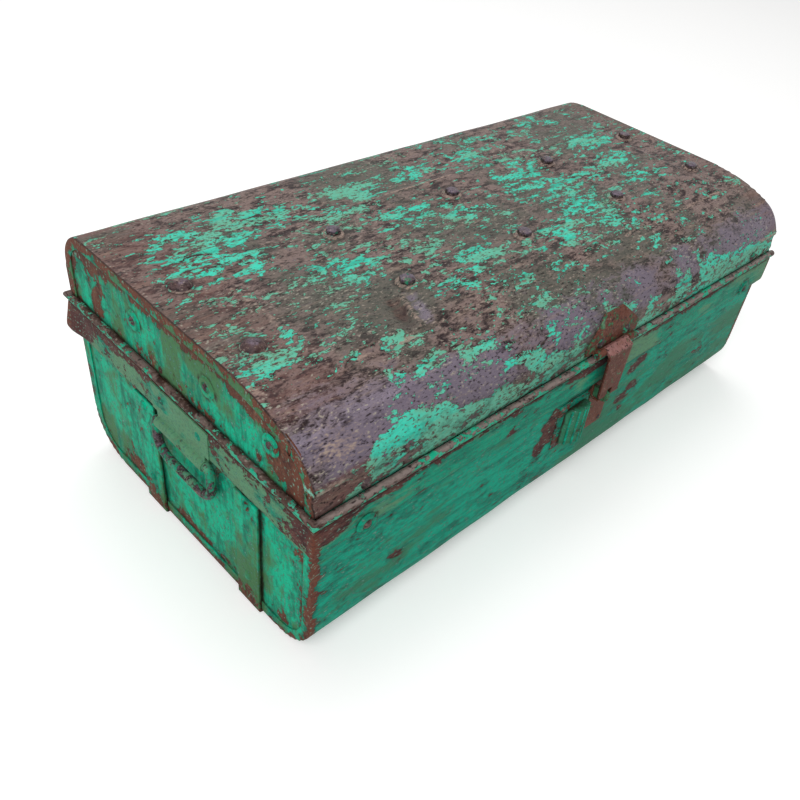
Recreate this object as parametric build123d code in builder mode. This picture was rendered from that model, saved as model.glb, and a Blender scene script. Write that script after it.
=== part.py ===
from build123d import *
import math
import os

# Painted sheet-iron trunk with a hinged lid, millimetres.
# Origin on the floor under the middle of the trunk; +X along its length, -Y its front, +Z up.

# Overall sizes, measured over the rolled rim of the lid
rim_length = 590.0
rim_depth = 304.0
rim_height = 149.5
lid_rise = 61.0

# Sheet and clearances
sheet = 1.0
fit_gap = 0.1
lid_gap = 0.7
rest_gap = 0.3
pin_clearance = 0.05
overrun = 20.0

# Rolled rim of the lid and the wire in it
bead_diameter = 6.2
lip_rise = 8.0

# Case
bottom_radius = 36.0
seam_width = 9.0

# Band round the top of the case
band_proud = 5.2
band_height = 32.0
band_taper_height = 6.5
band_foot_land = 0.8

# Lid profile, front to rear
shoulder_radius = 34.0
crown_radius = 174.0
crown_turn = 22.0
rear_radius = 31.0

# Raised panel pressed in the lid's top
panel_raise = 1.5
panel_length_share = 0.83
panel_front_share = 0.315
panel_rear_share = 0.21

# Straps that run up both ends and under the bottom as skids
strap_width = 26.0
strap_thickness = 2.5
front_strap_share = -0.253
rear_strap_share = 0.165
strap_top_gap = 1.0
strap_rivet_drop = 7.0
strap_rivet_rise = 30.0

# Handles, one on each end
handle_place = -5.0
bail_width = 70.0
bail_drop = 32.0
bail_rod = 7.0
bail_corner_radius = 15.0
bail_bend_radius = 5.0
bail_pin_length = 13.0
handle_plate_thickness = 1.2
handle_plate_top_gap = 2.0
sleeve_below_band = 3.2
sleeve_end_gap = 0.5
handle_rivet_spacing = 46.0
handle_rivet_drop = 12.0

# Rivets and cup washers
rivet_shank = 4.0
rivet_head_width = 9.0
rivet_head_height = 1.6
rivet_tail_width = 7.0
rivet_tail_height = 0.8
flush_tail_height = 0.3
cup_width = 17.0
cup_hole = 4.2
cup_height = 1.6
cup_dish_width = 9.0
cup_dish_depth = 0.8
band_rivet_inset = 38.0
band_rivet_drop = 22.0
skirt_rivet_rise = 8.5
lid_end_rivet_rise = 31.0
lid_end_rivet_shares = (0.171, -0.122, -0.342)

# Bolts through the lid and the strips under it
bolt_spacing_share = 0.22
bolt_count = 5
bolt_side_lean = 5.0
bolt_rear_share = 0.0985
bolt_front_lead = 8.0
bolt_diameter = 5.0
bolt_head_width = 10.0
bolt_head_height = 4.2
bolt_end = 2.0
bolt_washer_width = 18.0
bolt_washer_thickness = 1.2
nut_width = 9.0
nut_height = 4.0
strip_width = 20.0
strip_thickness = 2.0
strip_end_margin = 8.0

# Hinges at the rear
hinge_place_share = 0.3135
hinge_width = 52.0
hinge_middle_width = 20.0
hinge_knuckle_gap = 0.4
hinge_barrel = 8.8
hinge_pin_diameter = 4.0
hinge_bead_gap = 0.7
leaf_thickness = 1.5
lower_leaf_height = 15.0
lower_leaf_top_drop = 10.0
upper_leaf_height = 24.0
upper_leaf_lift = 7.0
leaf_rivet_spacing = 34.0
pin_overhang = 1.5

# Hasp on the lid's front
latch_place = 9.5
hasp_plate_width = 70.0
hasp_plate_shoulder = 10.0
hasp_plate_top_width = 26.0
hasp_plate_height = 28.5
hasp_plate_thickness = 1.5
hasp_barrel = 6.8
hasp_pin_diameter = 3.4
hasp_width = 31.0
hasp_foot_width = 27.0
hasp_knuckle_gap = 0.4
hasp_side_knuckle = 10.0
hasp_thickness = 2.5
hasp_drop = 47.0
hasp_standoff = 7.5
hasp_step_fall = 4.0
hasp_notch_width = 7.0
hasp_notch_depth = 7.0
hasp_foot_radius = 4.0
hasp_rivet_spacing = 35.0
hasp_rivet_lift = 10.4

# Staple and lock on the case's front
staple_thickness = 4.0
staple_height = 11.0
staple_top_drop = 37.5
staple_plate_width = 30.0
staple_plate_lean = 11.5
staple_plate_height = 41.0
staple_plate_thickness = 1.5
staple_ledge = 7.5
lock_plate_width = 41.0
lock_plate_height = 48.0
lock_plate_thickness = 0.8
lock_plate_gap = 1.0
lock_plate_lift = 1.0
lock_shell_width = 32.0
lock_shell_height = 36.0
lock_shell_lift = 4.5
lock_shell_bulge = 9.0
lock_shell_round = 8.0
lock_rib_width = 2.4
lock_rib_count = 5
lock_rivet_width = 5.0
lock_rivet_height = 1.0
lock_rivet_shank = 2.4
lock_rivet_inset = 4.2

# Places worked out from the sizes above
half_length = rim_length / 2
half_depth = rim_depth / 2
floor_height = strap_thickness
bead_radius = bead_diameter / 2
bead_top = rim_height + bead_radius
lid_half_length = half_length - bead_diameter + sheet
lid_half_depth = half_depth - bead_diameter + sheet
lid_top = rim_height + lid_rise
crown_lean = math.sin(math.radians(crown_turn))
crown_rear = shoulder_radius * (1 - crown_lean) + crown_radius * crown_lean - lid_half_depth
case_half_length = half_length - bead_diameter - lid_gap
case_half_depth = half_depth - bead_diameter - lid_gap
lip_top = rim_height + lip_rise
band_top = rim_height - bead_radius - rest_gap
band_foot = band_top - band_height
band_kink = band_foot + band_taper_height
band_half_length = case_half_length + band_proud
band_half_depth = case_half_depth + band_proud
seam_half_length = case_half_length + sheet
lid_seam_half_length = lid_half_length + sheet
bead_centre_depth = half_depth - bead_radius
bead_centre_length = half_length - bead_radius
hinge_radius = hinge_barrel / 2
hinge_axis_depth = half_depth + hinge_bead_gap + hinge_radius
rear_reach = hinge_axis_depth + hinge_radius
bolt_spacing = bolt_spacing_share * rim_length
bolt_places = [(index - (bolt_count - 1) / 2) * bolt_spacing - bolt_side_lean for index in range(bolt_count)]
bolt_front_place = crown_rear + bolt_front_lead
bolt_rear_place = bolt_rear_share * rim_depth
panel_length = panel_length_share * rim_length
panel_front = panel_front_share * rim_depth
panel_rear = panel_rear_share * rim_depth
front_strap_place = front_strap_share * rim_depth
rear_strap_place = rear_strap_share * rim_depth
lid_end_rivet_places = [share * rim_depth for share in lid_end_rivet_shares]
rivet_grip_hole = rivet_shank / 2 + pin_clearance
lock_grip_hole = lock_rivet_shank / 2 + pin_clearance


# Faces of the trunk, each as a plane that looks outwards
def front_face(across, height, depth):
    return Plane(origin=(across, -depth, height), x_dir=(1, 0, 0), z_dir=(0, -1, 0))


def rear_face(across, height, depth):
    return Plane(origin=(across, depth, height), x_dir=(-1, 0, 0), z_dir=(0, 1, 0))


def end_face(side, across, height, length):
    return Plane(origin=(side * length, across, height), x_dir=(0, side, 0), z_dir=(side, 0, 0))


def spots(planes):
    return Locations(*[plane.location for plane in planes])


# Outline of the case in the YZ plane, drawn inside the outer face by the inset
def case_outline(inset, top):
    half = case_half_depth - inset
    bottom = floor_height + inset
    with BuildSketch() as outline:
        with BuildLine():
            FilletPolyline(
                (-half, top),
                (-half, bottom),
                (half, bottom),
                (half, top),
                radius=bottom_radius - inset,
            )
            Line((half, top), (-half, top))
        make_face()
    return outline.sketch


# Outline of the lid in the YZ plane: front skirt, tight shoulder, slow crown, flat top, rear corner
def lid_outline(inset, bottom):
    half = lid_half_depth - inset
    top = lid_top - inset
    shoulder = shoulder_radius - inset
    crown = crown_radius - inset
    rear = rear_radius - inset
    turn = math.radians(crown_turn)
    skirt_top = top - crown * (1 - math.cos(turn)) - shoulder * math.cos(turn)
    with BuildSketch() as outline:
        with BuildLine():
            skirt = Line((-half, bottom), (-half, skirt_top))
            shoulder_arc = JernArc(skirt @ 1, (0, 1), shoulder, crown_turn - 90)
            crown_arc = JernArc(shoulder_arc @ 1, shoulder_arc % 1, crown, -crown_turn)
            flat_top = Line(crown_arc @ 1, (half - rear, top))
            rear_arc = JernArc(flat_top @ 1, (1, 0), rear, -90)
            Polyline(rear_arc @ 1, (half, bottom), (-half, bottom))
        make_face()
    return outline.sketch


# Rivet along its own Z: domed head above the sheet, shank through the grip, flat tail inside
def rivet_form(head_width, head_height, shank_width, grip, tail_width, tail_height):
    head = head_width / 2
    shank = shank_width / 2
    tail = tail_width / 2
    with BuildPart() as rivet:
        with BuildSketch(Plane.XZ):
            with BuildLine():
                ThreePointArc(
                    (0, head_height),
                    (head * math.sqrt(0.5), head_height * math.sqrt(0.5)),
                    (head, 0),
                )
                Polyline(
                    (head, 0),
                    (shank, 0),
                    (shank, -grip),
                    (tail, -grip),
                    (tail, -grip - tail_height),
                    (0, -grip - tail_height),
                    (0, head_height),
                )
            make_face()
        revolve(axis=Axis.Z)
    return rivet.part


# Cup washer along its own Z: a ring dished round its hole
def cup_form():
    outer = cup_width / 2
    hole = cup_hole / 2
    dish = cup_dish_width / 2
    with BuildPart() as cup:
        with BuildSketch(Plane.XZ):
            with BuildLine():
                Polyline(
                    (hole, 0),
                    (outer, 0),
                    (outer - cup_height, cup_height),
                    (dish, cup_height),
                    (dish - cup_dish_depth, cup_height - cup_dish_depth),
                    (hole, cup_height - cup_dish_depth),
                    (hole, 0),
                )
            make_face()
        revolve(axis=Axis.Z)
    return cup.part


os.makedirs("parts", exist_ok=True)


def keep(piece, name):
    piece.part.label = name
    export_step(piece.part, "parts/" + name + ".step")


# Rivet and cup washer places
cup_seat = cup_height - cup_dish_depth
cup_head_width = cup_dish_width - 2 * cup_dish_depth - 2 * fit_gap
band_cups = [
    face(side * (case_half_length - band_rivet_inset), band_top - band_rivet_drop, band_half_depth)
    for side in (-1, 1)
    for face in (front_face, rear_face)
]
skirt_spots = [
    front_face(side * (case_half_length - band_rivet_inset), rim_height + skirt_rivet_rise, lid_half_depth)
    for side in (-1, 1)
]
lid_end_cups = [
    end_face(side, across, rim_height + lid_end_rivet_rise, lid_half_length)
    for side in (-1, 1)
    for across in lid_end_rivet_places
]
staple_plate_place = latch_place + staple_plate_lean
lock_right = staple_plate_place - staple_plate_width / 2 - lock_plate_gap
lock_left = lock_right - lock_plate_width
staple_top = rim_height - staple_top_drop
ledge_top = staple_top - staple_height
staple_plate_foot = ledge_top - staple_plate_height
lock_plate_foot = staple_plate_foot + lock_plate_lift
lock_plate_top = lock_plate_foot + lock_plate_height
staple_rivet_spots = [
    front_face(staple_plate_place + half * (staple_plate_width / 2 - lock_rivet_inset),
               staple_plate_foot + lock_rivet_inset, case_half_depth + staple_plate_thickness)
    for half in (-1, 1)
]
lock_rivet_spots = [
    front_face(across, height, case_half_depth + lock_plate_thickness)
    for across, height in (
        (lock_left + lock_rivet_inset, lock_plate_foot + lock_rivet_inset),
        (lock_left + lock_rivet_inset, lock_plate_top - lock_rivet_inset),
        (lock_right - lock_rivet_inset, lock_plate_top - lock_rivet_inset),
    )
]
strap_places = (front_strap_place, rear_strap_place)
strap_top = band_foot - strap_top_gap
strap_rivet_heights = (strap_top - strap_rivet_drop, floor_height + strap_rivet_rise)
strap_face_length = seam_half_length + strap_thickness
strap_spots = [
    end_face(side, across, height, strap_face_length)
    for side in (-1, 1)
    for across in strap_places
    for height in strap_rivet_heights
]
handle_rivet_spots = [
    end_face(side, handle_place + half * handle_rivet_spacing / 2, band_top - handle_rivet_drop,
             band_half_length + handle_plate_thickness)
    for side in (-1, 1)
    for half in (-1, 1)
]
hinge_places = (-hinge_place_share * rim_length, hinge_place_share * rim_length)
leaf_offsets = (-leaf_rivet_spacing / 2, leaf_rivet_spacing / 2)
lower_leaf_top = band_top - lower_leaf_top_drop
lower_leaf_foot = lower_leaf_top - lower_leaf_height
lower_leaf_middle = (lower_leaf_top + lower_leaf_foot) / 2
upper_leaf_foot = rim_height + upper_leaf_lift
upper_leaf_top = upper_leaf_foot + upper_leaf_height
upper_leaf_middle = (upper_leaf_foot + upper_leaf_top) / 2
lower_leaf_spots = [
    rear_face(place + offset, lower_leaf_middle, band_half_depth + leaf_thickness)
    for place in hinge_places
    for offset in leaf_offsets
]
upper_leaf_spots = [
    rear_face(place + offset, upper_leaf_middle, lid_half_depth + leaf_thickness)
    for place in hinge_places
    for offset in leaf_offsets
]
hasp_rivet_spots = [
    front_face(latch_place + half * hasp_rivet_spacing / 2, bead_top + hasp_rivet_lift,
               lid_half_depth + hasp_plate_thickness)
    for half in (-1, 1)
]
bolt_hole = bolt_diameter / 2 + pin_clearance


# Height of the lid's top, which is higher over the raised panel
def surface_at(place):
    return lid_top + panel_raise if abs(place) < panel_length / 2 else lid_top


bolt_spots = [
    Vector(place, across, surface_at(place))
    for place in bolt_places
    for across in (bolt_front_place, bolt_rear_place)
]


# Case wrap: one sheet for front, bottom and rear
with BuildPart() as case_wrap:
    with BuildSketch(Plane.YZ.offset(-seam_half_length)):
        add(case_outline(0, lip_top))
        add(case_outline(sheet, lip_top + overrun), mode=Mode.SUBTRACT)
    extrude(amount=2 * seam_half_length)
    with BuildSketch(Plane.XY.offset(band_top)):
        Rectangle(2 * rim_length, 2 * rim_depth)
        Rectangle(2 * case_half_length, 2 * rim_depth, mode=Mode.SUBTRACT)
    extrude(amount=overrun, mode=Mode.SUBTRACT)
    with spots(band_cups + lower_leaf_spots):
        Hole(radius=rivet_grip_hole, depth=overrun)
    with spots(lock_rivet_spots + staple_rivet_spots):
        Hole(radius=lock_grip_hole, depth=overrun)
keep(case_wrap, "case_wrap")

# Turned-in edges of the case wrap, over the end panels
for side, name in ((-1, "left_case_seam"), (1, "right_case_seam")):
    with BuildPart() as case_seam:
        with BuildSketch(Plane.YZ.offset(side * seam_half_length)):
            add(case_outline(sheet + fit_gap, band_top))
            add(case_outline(seam_width, band_top + overrun), mode=Mode.SUBTRACT)
        extrude(amount=-side * sheet)
    keep(case_seam, name)

# End panels of the case, behind the folded seams
for side, name in ((-1, "left_end_panel"), (1, "right_end_panel")):
    with BuildPart() as end_panel:
        with BuildSketch(Plane.YZ.offset(side * case_half_length)):
            add(case_outline(sheet + fit_gap, lip_top))
        extrude(amount=-side * sheet)
        with spots(strap_spots + handle_rivet_spots):
            Hole(radius=rivet_grip_hole, depth=overrun)
    keep(end_panel, name)

# Band round the top of the case: top flange, wall and a foot that slants in to the case
with BuildPart() as band_ring:
    with BuildSketch(Plane.XY.offset(band_kink)):
        Rectangle(2 * band_half_length, 2 * band_half_depth)
    extrude(amount=band_top - band_kink)
    with BuildSketch(Plane.XY.offset(band_foot)):
        Rectangle(2 * (seam_half_length + band_foot_land), 2 * (case_half_depth + band_foot_land))
    with BuildSketch(Plane.XY.offset(band_kink)):
        Rectangle(2 * band_half_length, 2 * band_half_depth)
    loft()
    with BuildSketch(Plane.XY.offset(band_foot - fit_gap)):
        Rectangle(2 * seam_half_length, 2 * case_half_depth)
    extrude(amount=band_kink - band_foot + fit_gap, mode=Mode.SUBTRACT)
    with BuildSketch(Plane.XY.offset(band_foot)):
        Rectangle(2 * seam_half_length, 2 * case_half_depth)
    with BuildSketch(Plane.XY.offset(band_kink)):
        Rectangle(2 * (band_half_length - sheet), 2 * (band_half_depth - sheet))
    loft(mode=Mode.SUBTRACT)
    with BuildSketch(Plane.XY.offset(band_kink)):
        Rectangle(2 * (band_half_length - sheet), 2 * (band_half_depth - sheet))
    extrude(amount=band_top - sheet - band_kink, mode=Mode.SUBTRACT)
    with BuildSketch(Plane.XY.offset(band_foot)):
        Rectangle(2 * seam_half_length, 2 * case_half_depth)
    extrude(amount=band_height, mode=Mode.SUBTRACT)
    with spots(band_cups + handle_rivet_spots + lower_leaf_spots):
        Hole(radius=rivet_grip_hole, depth=overrun)

# The band's four lengths: front and rear reach the corners, the ends fit between them
for side, name in ((-1, "front_band"), (1, "rear_band")):
    with BuildPart() as long_band:
        with BuildSketch(Plane.XY.offset(band_foot)):
            with Locations((0, side * (case_half_depth + overrun / 2))):
                Rectangle(2 * rim_length, overrun)
        extrude(amount=band_height)
        add(band_ring.part, mode=Mode.INTERSECT)
    keep(long_band, name)
for side, name in ((-1, "left_band"), (1, "right_band")):
    with BuildPart() as end_band:
        with BuildSketch(Plane.XY.offset(band_foot)):
            with Locations((side * case_half_length, 0)):
                Rectangle(2 * overrun, 2 * case_half_depth)
        extrude(amount=band_height)
        add(band_ring.part, mode=Mode.INTERSECT)
    keep(end_band, name)

# Cup washers and rivets that close the band at the corners
with BuildPart() as band_washers:
    with spots(band_cups):
        add(cup_form())
keep(band_washers, "band_washers")

with BuildPart() as band_rivets:
    with spots([plane.offset(cup_seat) for plane in band_cups]):
        add(rivet_form(cup_head_width, rivet_head_height, rivet_shank,
                       cup_seat + band_proud + sheet, rivet_tail_width, rivet_tail_height))
keep(band_rivets, "band_rivets")

# Skid straps: up one end, under the bottom and up the other end
for across, name in ((front_strap_place, "front_skid_strap"), (rear_strap_place, "rear_skid_strap")):
    with BuildPart() as skid_strap:
        with BuildSketch(Plane.XZ.offset(-across - strap_width / 2)):
            with BuildLine():
                FilletPolyline(
                    (-strap_face_length, strap_top),
                    (-strap_face_length, 0),
                    (strap_face_length, 0),
                    (strap_face_length, strap_top),
                    radius=strap_thickness,
                )
                Polyline(
                    (strap_face_length, strap_top),
                    (seam_half_length, strap_top),
                    (seam_half_length, floor_height),
                    (-seam_half_length, floor_height),
                    (-seam_half_length, strap_top),
                    (-strap_face_length, strap_top),
                )
            make_face()
        extrude(amount=strap_width)
        with spots(strap_spots):
            Hole(radius=rivet_grip_hole, depth=overrun)
    keep(skid_strap, name)

with BuildPart() as strap_rivets:
    with spots(strap_spots):
        add(rivet_form(rivet_head_width, rivet_head_height, rivet_shank,
                       strap_thickness + 2 * sheet, rivet_tail_width, rivet_tail_height))
keep(strap_rivets, "strap_rivets")

# Handle plates: each hangs over the band and is rolled into a sleeve for the bail at its foot
sleeve_radius = bail_rod / 2 + pin_clearance + handle_plate_thickness
bail_axis_length = band_half_length + handle_plate_thickness / 2 - fit_gap
bail_axis_height = band_foot - sleeve_below_band
sleeve_length = bail_width - 2 * (bail_bend_radius + sleeve_end_gap)
plate_top = band_top - handle_plate_top_gap
for side, name in ((-1, "left_handle_plate"), (1, "right_handle_plate")):
    with BuildPart() as handle_plate:
        with BuildSketch(Plane.XZ.offset(-handle_place - sleeve_length / 2)):
            with Locations((side * (band_half_length + handle_plate_thickness / 2), 0)):
                with Locations((0, (plate_top + bail_axis_height) / 2)):
                    Rectangle(handle_plate_thickness, plate_top - bail_axis_height)
            with Locations((side * bail_axis_length, bail_axis_height)):
                Circle(sleeve_radius)
                Circle(bail_rod / 2 + pin_clearance, mode=Mode.SUBTRACT)
        extrude(amount=sleeve_length)
        with BuildSketch(Plane.YZ.offset(side * band_half_length)):
            with Locations((handle_place, (plate_top + band_kink) / 2)):
                Rectangle(bail_width, plate_top - band_kink)
        extrude(amount=side * handle_plate_thickness)
        with spots(handle_rivet_spots):
            Hole(radius=rivet_grip_hole, depth=overrun)
    keep(handle_plate, name)

with BuildPart() as handle_rivets:
    with spots(handle_rivet_spots):
        add(rivet_form(rivet_tail_width, rivet_tail_height, rivet_shank,
                       handle_plate_thickness + band_proud + sheet, rivet_tail_width, rivet_tail_height))
keep(handle_rivets, "handle_rivets")

# Bails: round rod bent into a wide U, its ends turned in to the sleeve
for side, name in ((-1, "left_bail"), (1, "right_bail")):
    x = side * bail_axis_length
    pin = bail_width / 2 - bail_pin_length
    with BuildPart() as bail:
        with BuildLine(Plane.YZ.offset(x)):
            FilletPolyline(
                (handle_place - pin, bail_axis_height),
                (handle_place - bail_width / 2, bail_axis_height),
                (handle_place - bail_width / 2, bail_axis_height - bail_drop),
                (handle_place + bail_width / 2, bail_axis_height - bail_drop),
                (handle_place + bail_width / 2, bail_axis_height),
                (handle_place + pin, bail_axis_height),
                radius=(bail_bend_radius, bail_corner_radius, bail_corner_radius, bail_bend_radius),
            )
        with BuildSketch(Plane((x, handle_place - pin, bail_axis_height), z_dir=(0, -1, 0))):
            Circle(bail_rod / 2)
        sweep()
    keep(bail, name)

# Hinges: leaf, crank and knuckles as one profile in the YZ plane
knuckle_share = hinge_middle_width / 2 + hinge_knuckle_gap


def hinge_leaf(place, skin, low, high, web_points, outer):
    with BuildPart() as leaf:
        with BuildSketch(Plane.YZ.offset(place - hinge_width / 2)):
            with Locations((skin + leaf_thickness / 2, (low + high) / 2)):
                Rectangle(leaf_thickness, high - low)
            with BuildLine():
                Polyline(*web_points, close=True)
            make_face()
            with Locations((hinge_axis_depth, rim_height)):
                Circle(hinge_radius)
        extrude(amount=hinge_width)
        with BuildSketch(Plane.YZ.offset(place - hinge_width / 2)):
            with Locations((hinge_axis_depth, rim_height)):
                Circle(hinge_pin_diameter / 2 + pin_clearance)
        extrude(amount=hinge_width, mode=Mode.SUBTRACT)
        # Room for the other leaf's knuckles, past the flat of the leaf
        room_foot = high if outer else rim_height - hinge_radius - hinge_knuckle_gap
        room_top = rim_height + hinge_radius + hinge_knuckle_gap if outer else low
        with BuildSketch(Plane.XY.offset(min(room_foot, room_top))):
            with Locations((place, hinge_axis_depth)):
                if outer:
                    Rectangle(2 * knuckle_share, 2 * (hinge_axis_depth - skin))
                else:
                    Rectangle(hinge_width + overrun, 2 * (hinge_axis_depth - skin))
                    Rectangle(hinge_middle_width, 2 * (hinge_axis_depth - skin), mode=Mode.SUBTRACT)
        extrude(amount=abs(room_top - room_foot), mode=Mode.SUBTRACT)
        with spots(lower_leaf_spots + upper_leaf_spots):
            Hole(radius=rivet_grip_hole, depth=overrun)
    return leaf


lower_web = (
    (band_half_depth, lower_leaf_top),
    (band_half_depth + leaf_thickness, lower_leaf_top - leaf_thickness),
    (hinge_axis_depth + hinge_radius / 2, rim_height - hinge_radius),
    (hinge_axis_depth, rim_height),
    (hinge_axis_depth - leaf_thickness, rim_height - hinge_radius + leaf_thickness / 2),
)
upper_web = (
    (lid_half_depth, upper_leaf_foot),
    (lid_half_depth, upper_leaf_foot + leaf_thickness),
    (lid_half_depth + leaf_thickness, upper_leaf_foot + leaf_thickness),
    (hinge_axis_depth + hinge_radius / 2, rim_height + hinge_radius * math.sqrt(0.75)),
    (hinge_axis_depth, rim_height),
    (hinge_axis_depth - hinge_radius * math.sqrt(0.75), rim_height + hinge_radius / 2),
    (lid_half_depth + leaf_thickness, upper_leaf_foot),
)
for place, word in zip(hinge_places, ("left", "right")):
    keep(hinge_leaf(place, band_half_depth, lower_leaf_foot, lower_leaf_top, lower_web, True),
         word + "_hinge_lower_leaf")
    keep(hinge_leaf(place, lid_half_depth, upper_leaf_foot, upper_leaf_top, upper_web, False),
         word + "_hinge_upper_leaf")
    with BuildPart() as hinge_pin:
        with BuildSketch(Plane.YZ.offset(place - hinge_width / 2 - pin_overhang)):
            with Locations((hinge_axis_depth, rim_height)):
                Circle(hinge_pin_diameter / 2)
        extrude(amount=hinge_width + 2 * pin_overhang)
    keep(hinge_pin, word + "_hinge_pin")

with BuildPart() as lower_hinge_rivets:
    with spots(lower_leaf_spots):
        add(rivet_form(rivet_head_width, rivet_head_height, rivet_shank,
                       leaf_thickness + band_proud + sheet, rivet_tail_width, rivet_tail_height))
keep(lower_hinge_rivets, "lower_hinge_rivets")

with BuildPart() as upper_hinge_rivets:
    with spots(upper_leaf_spots):
        add(rivet_form(rivet_head_width, rivet_head_height, rivet_shank,
                       leaf_thickness + sheet, rivet_tail_width, rivet_tail_height))
keep(upper_hinge_rivets, "upper_hinge_rivets")


# Raised panel of the lid, in plan
def panel_plan(inset):
    with BuildSketch() as plan:
        with Locations((0, (panel_rear - panel_front) / 2)):
            Rectangle(panel_length - 2 * inset, panel_rear + panel_front - 2 * inset)
    return plan.sketch


# Layer over the lid's skin, from its inner face out to the lift, inside the raised panel only
def panel_block(lift, inset):
    with BuildPart() as block:
        with BuildSketch(Plane.YZ.offset(-lid_half_length)):
            add(lid_outline(-lift, rim_height))
            add(lid_outline(sheet, rim_height - sheet), mode=Mode.SUBTRACT)
        extrude(amount=2 * lid_half_length)
        with BuildSketch(Plane.XY.offset(rim_height)):
            add(panel_plan(inset))
        extrude(amount=lid_rise + overrun, mode=Mode.INTERSECT)
    return block.part


# Rolled edge along X at the foot of the front skirt, mitred at both corners
with BuildPart() as front_roll:
    with BuildSketch(Plane.YZ.offset(-half_length)):
        with Locations((-bead_centre_depth, rim_height)):
            Circle(bead_radius)
        with Locations((-lid_half_depth + sheet / 2, (rim_height + bead_top + fit_gap) / 2)):
            Rectangle(sheet, bead_radius + fit_gap)
        with Locations((-bead_centre_depth, rim_height)):
            Circle(bead_radius - sheet, mode=Mode.SUBTRACT)
    extrude(amount=rim_length)
    with BuildSketch(Plane.XY.offset(rim_height - bead_diameter)):
        with BuildLine():
            Polyline(
                (-half_length, -half_depth),
                (half_length, -half_depth),
                (half_length - bead_diameter, -half_depth + bead_diameter),
                (-half_length + bead_diameter, -half_depth + bead_diameter),
                close=True,
            )
        make_face()
    extrude(amount=2 * bead_diameter, mode=Mode.INTERSECT)

# Lid wrap: one sheet for front skirt, top and rear skirt
with BuildPart() as lid_wrap:
    with BuildSketch(Plane.YZ.offset(-lid_seam_half_length)):
        add(lid_outline(0, bead_top + fit_gap))
        add(lid_outline(sheet, rim_height), mode=Mode.SUBTRACT)
    extrude(amount=2 * lid_seam_half_length)
    add(panel_block(panel_raise, 0))
    add(panel_block(panel_raise - sheet, sheet), mode=Mode.SUBTRACT)
    add(front_roll.part)
    add(front_roll.part.mirror(Plane.XZ))
    with spots(skirt_spots + hasp_rivet_spots + upper_leaf_spots):
        Hole(radius=rivet_grip_hole, depth=overrun)
    with Locations(*bolt_spots):
        Hole(radius=bolt_hole, depth=overrun)
keep(lid_wrap, "lid_wrap")

# Turned-in edges of the lid wrap, over the lid's ends
for side, name in ((-1, "left_lid_seam"), (1, "right_lid_seam")):
    with BuildPart() as lid_seam:
        with BuildSketch(Plane.YZ.offset(side * lid_seam_half_length)):
            add(lid_outline(sheet + fit_gap, bead_top + fit_gap))
            add(lid_outline(seam_width, rim_height), mode=Mode.SUBTRACT)
        extrude(amount=-side * sheet)
    keep(lid_seam, name)

# Ends of the lid, behind the folded seams, each with its own rolled edge
with BuildPart() as end_roll:
    with BuildSketch(Plane.XZ.offset(-half_depth)):
        with Locations((-bead_centre_length, rim_height)):
            Circle(bead_radius)
        with Locations((-lid_half_length + sheet / 2, (rim_height + bead_top + fit_gap) / 2)):
            Rectangle(sheet, bead_radius + fit_gap)
        with Locations((-bead_centre_length, rim_height)):
            Circle(bead_radius - sheet, mode=Mode.SUBTRACT)
    extrude(amount=rim_depth)
    with BuildSketch(Plane.XY.offset(rim_height - bead_diameter)):
        with BuildLine():
            Polyline(
                (-half_length, -half_depth),
                (-half_length, half_depth),
                (-half_length + bead_diameter, half_depth - bead_diameter),
                (-half_length + bead_diameter, -half_depth + bead_diameter),
                close=True,
            )
        make_face()
    extrude(amount=2 * bead_diameter, mode=Mode.INTERSECT)

for side, name in ((-1, "left_lid_end"), (1, "right_lid_end")):
    with BuildPart() as lid_end:
        with BuildSketch(Plane.YZ.offset(side * lid_half_length)):
            add(lid_outline(sheet + fit_gap, bead_top + fit_gap))
        extrude(amount=-side * sheet)
        add(end_roll.part if side < 0 else end_roll.part.mirror(Plane.YZ))
        with spots(lid_end_cups):
            Hole(radius=rivet_grip_hole, depth=overrun)
    keep(lid_end, name)

# Wire inside the rolled edges
with BuildPart() as rim_wire:
    with BuildLine() as wire_path:
        Polyline(
            (0, -bead_centre_depth, rim_height),
            (bead_centre_length, -bead_centre_depth, rim_height),
            (bead_centre_length, bead_centre_depth, rim_height),
            (-bead_centre_length, bead_centre_depth, rim_height),
            (-bead_centre_length, -bead_centre_depth, rim_height),
            (0, -bead_centre_depth, rim_height),
        )
    with BuildSketch(Plane((0, -bead_centre_depth, rim_height), z_dir=(1, 0, 0))):
        Circle(bead_radius - sheet - fit_gap)
    sweep(transition=Transition.RIGHT)
keep(rim_wire, "rim_wire")

# Cup washers and rivets on the lid's ends and front skirt
with BuildPart() as lid_washers:
    with spots(lid_end_cups):
        add(cup_form())
keep(lid_washers, "lid_washers")

with BuildPart() as lid_rivets:
    with spots([plane.offset(cup_seat) for plane in lid_end_cups]):
        add(rivet_form(cup_head_width, rivet_head_height, rivet_shank,
                       cup_seat + sheet, rivet_tail_width, rivet_tail_height))
    with spots(skirt_spots):
        add(rivet_form(rivet_head_width, rivet_head_height, rivet_shank,
                       sheet, rivet_tail_width, flush_tail_height))
keep(lid_rivets, "lid_rivets")

# Stiffening strips across the underside of the lid's top
strip_front = bolt_front_place - strip_end_margin
strip_rear = bolt_rear_place + strip_end_margin
for index, place in enumerate(bolt_places):
    with BuildPart() as lid_strip:
        with BuildSketch(Plane.XY.offset(surface_at(place) - sheet)):
            with Locations((place, (strip_front + strip_rear) / 2)):
                Rectangle(strip_width, strip_rear - strip_front)
        extrude(amount=-strip_thickness)
        with Locations(*bolt_spots):
            Hole(radius=bolt_hole, depth=overrun)
    keep(lid_strip, "lid_strip_" + str(index + 1))

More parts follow.
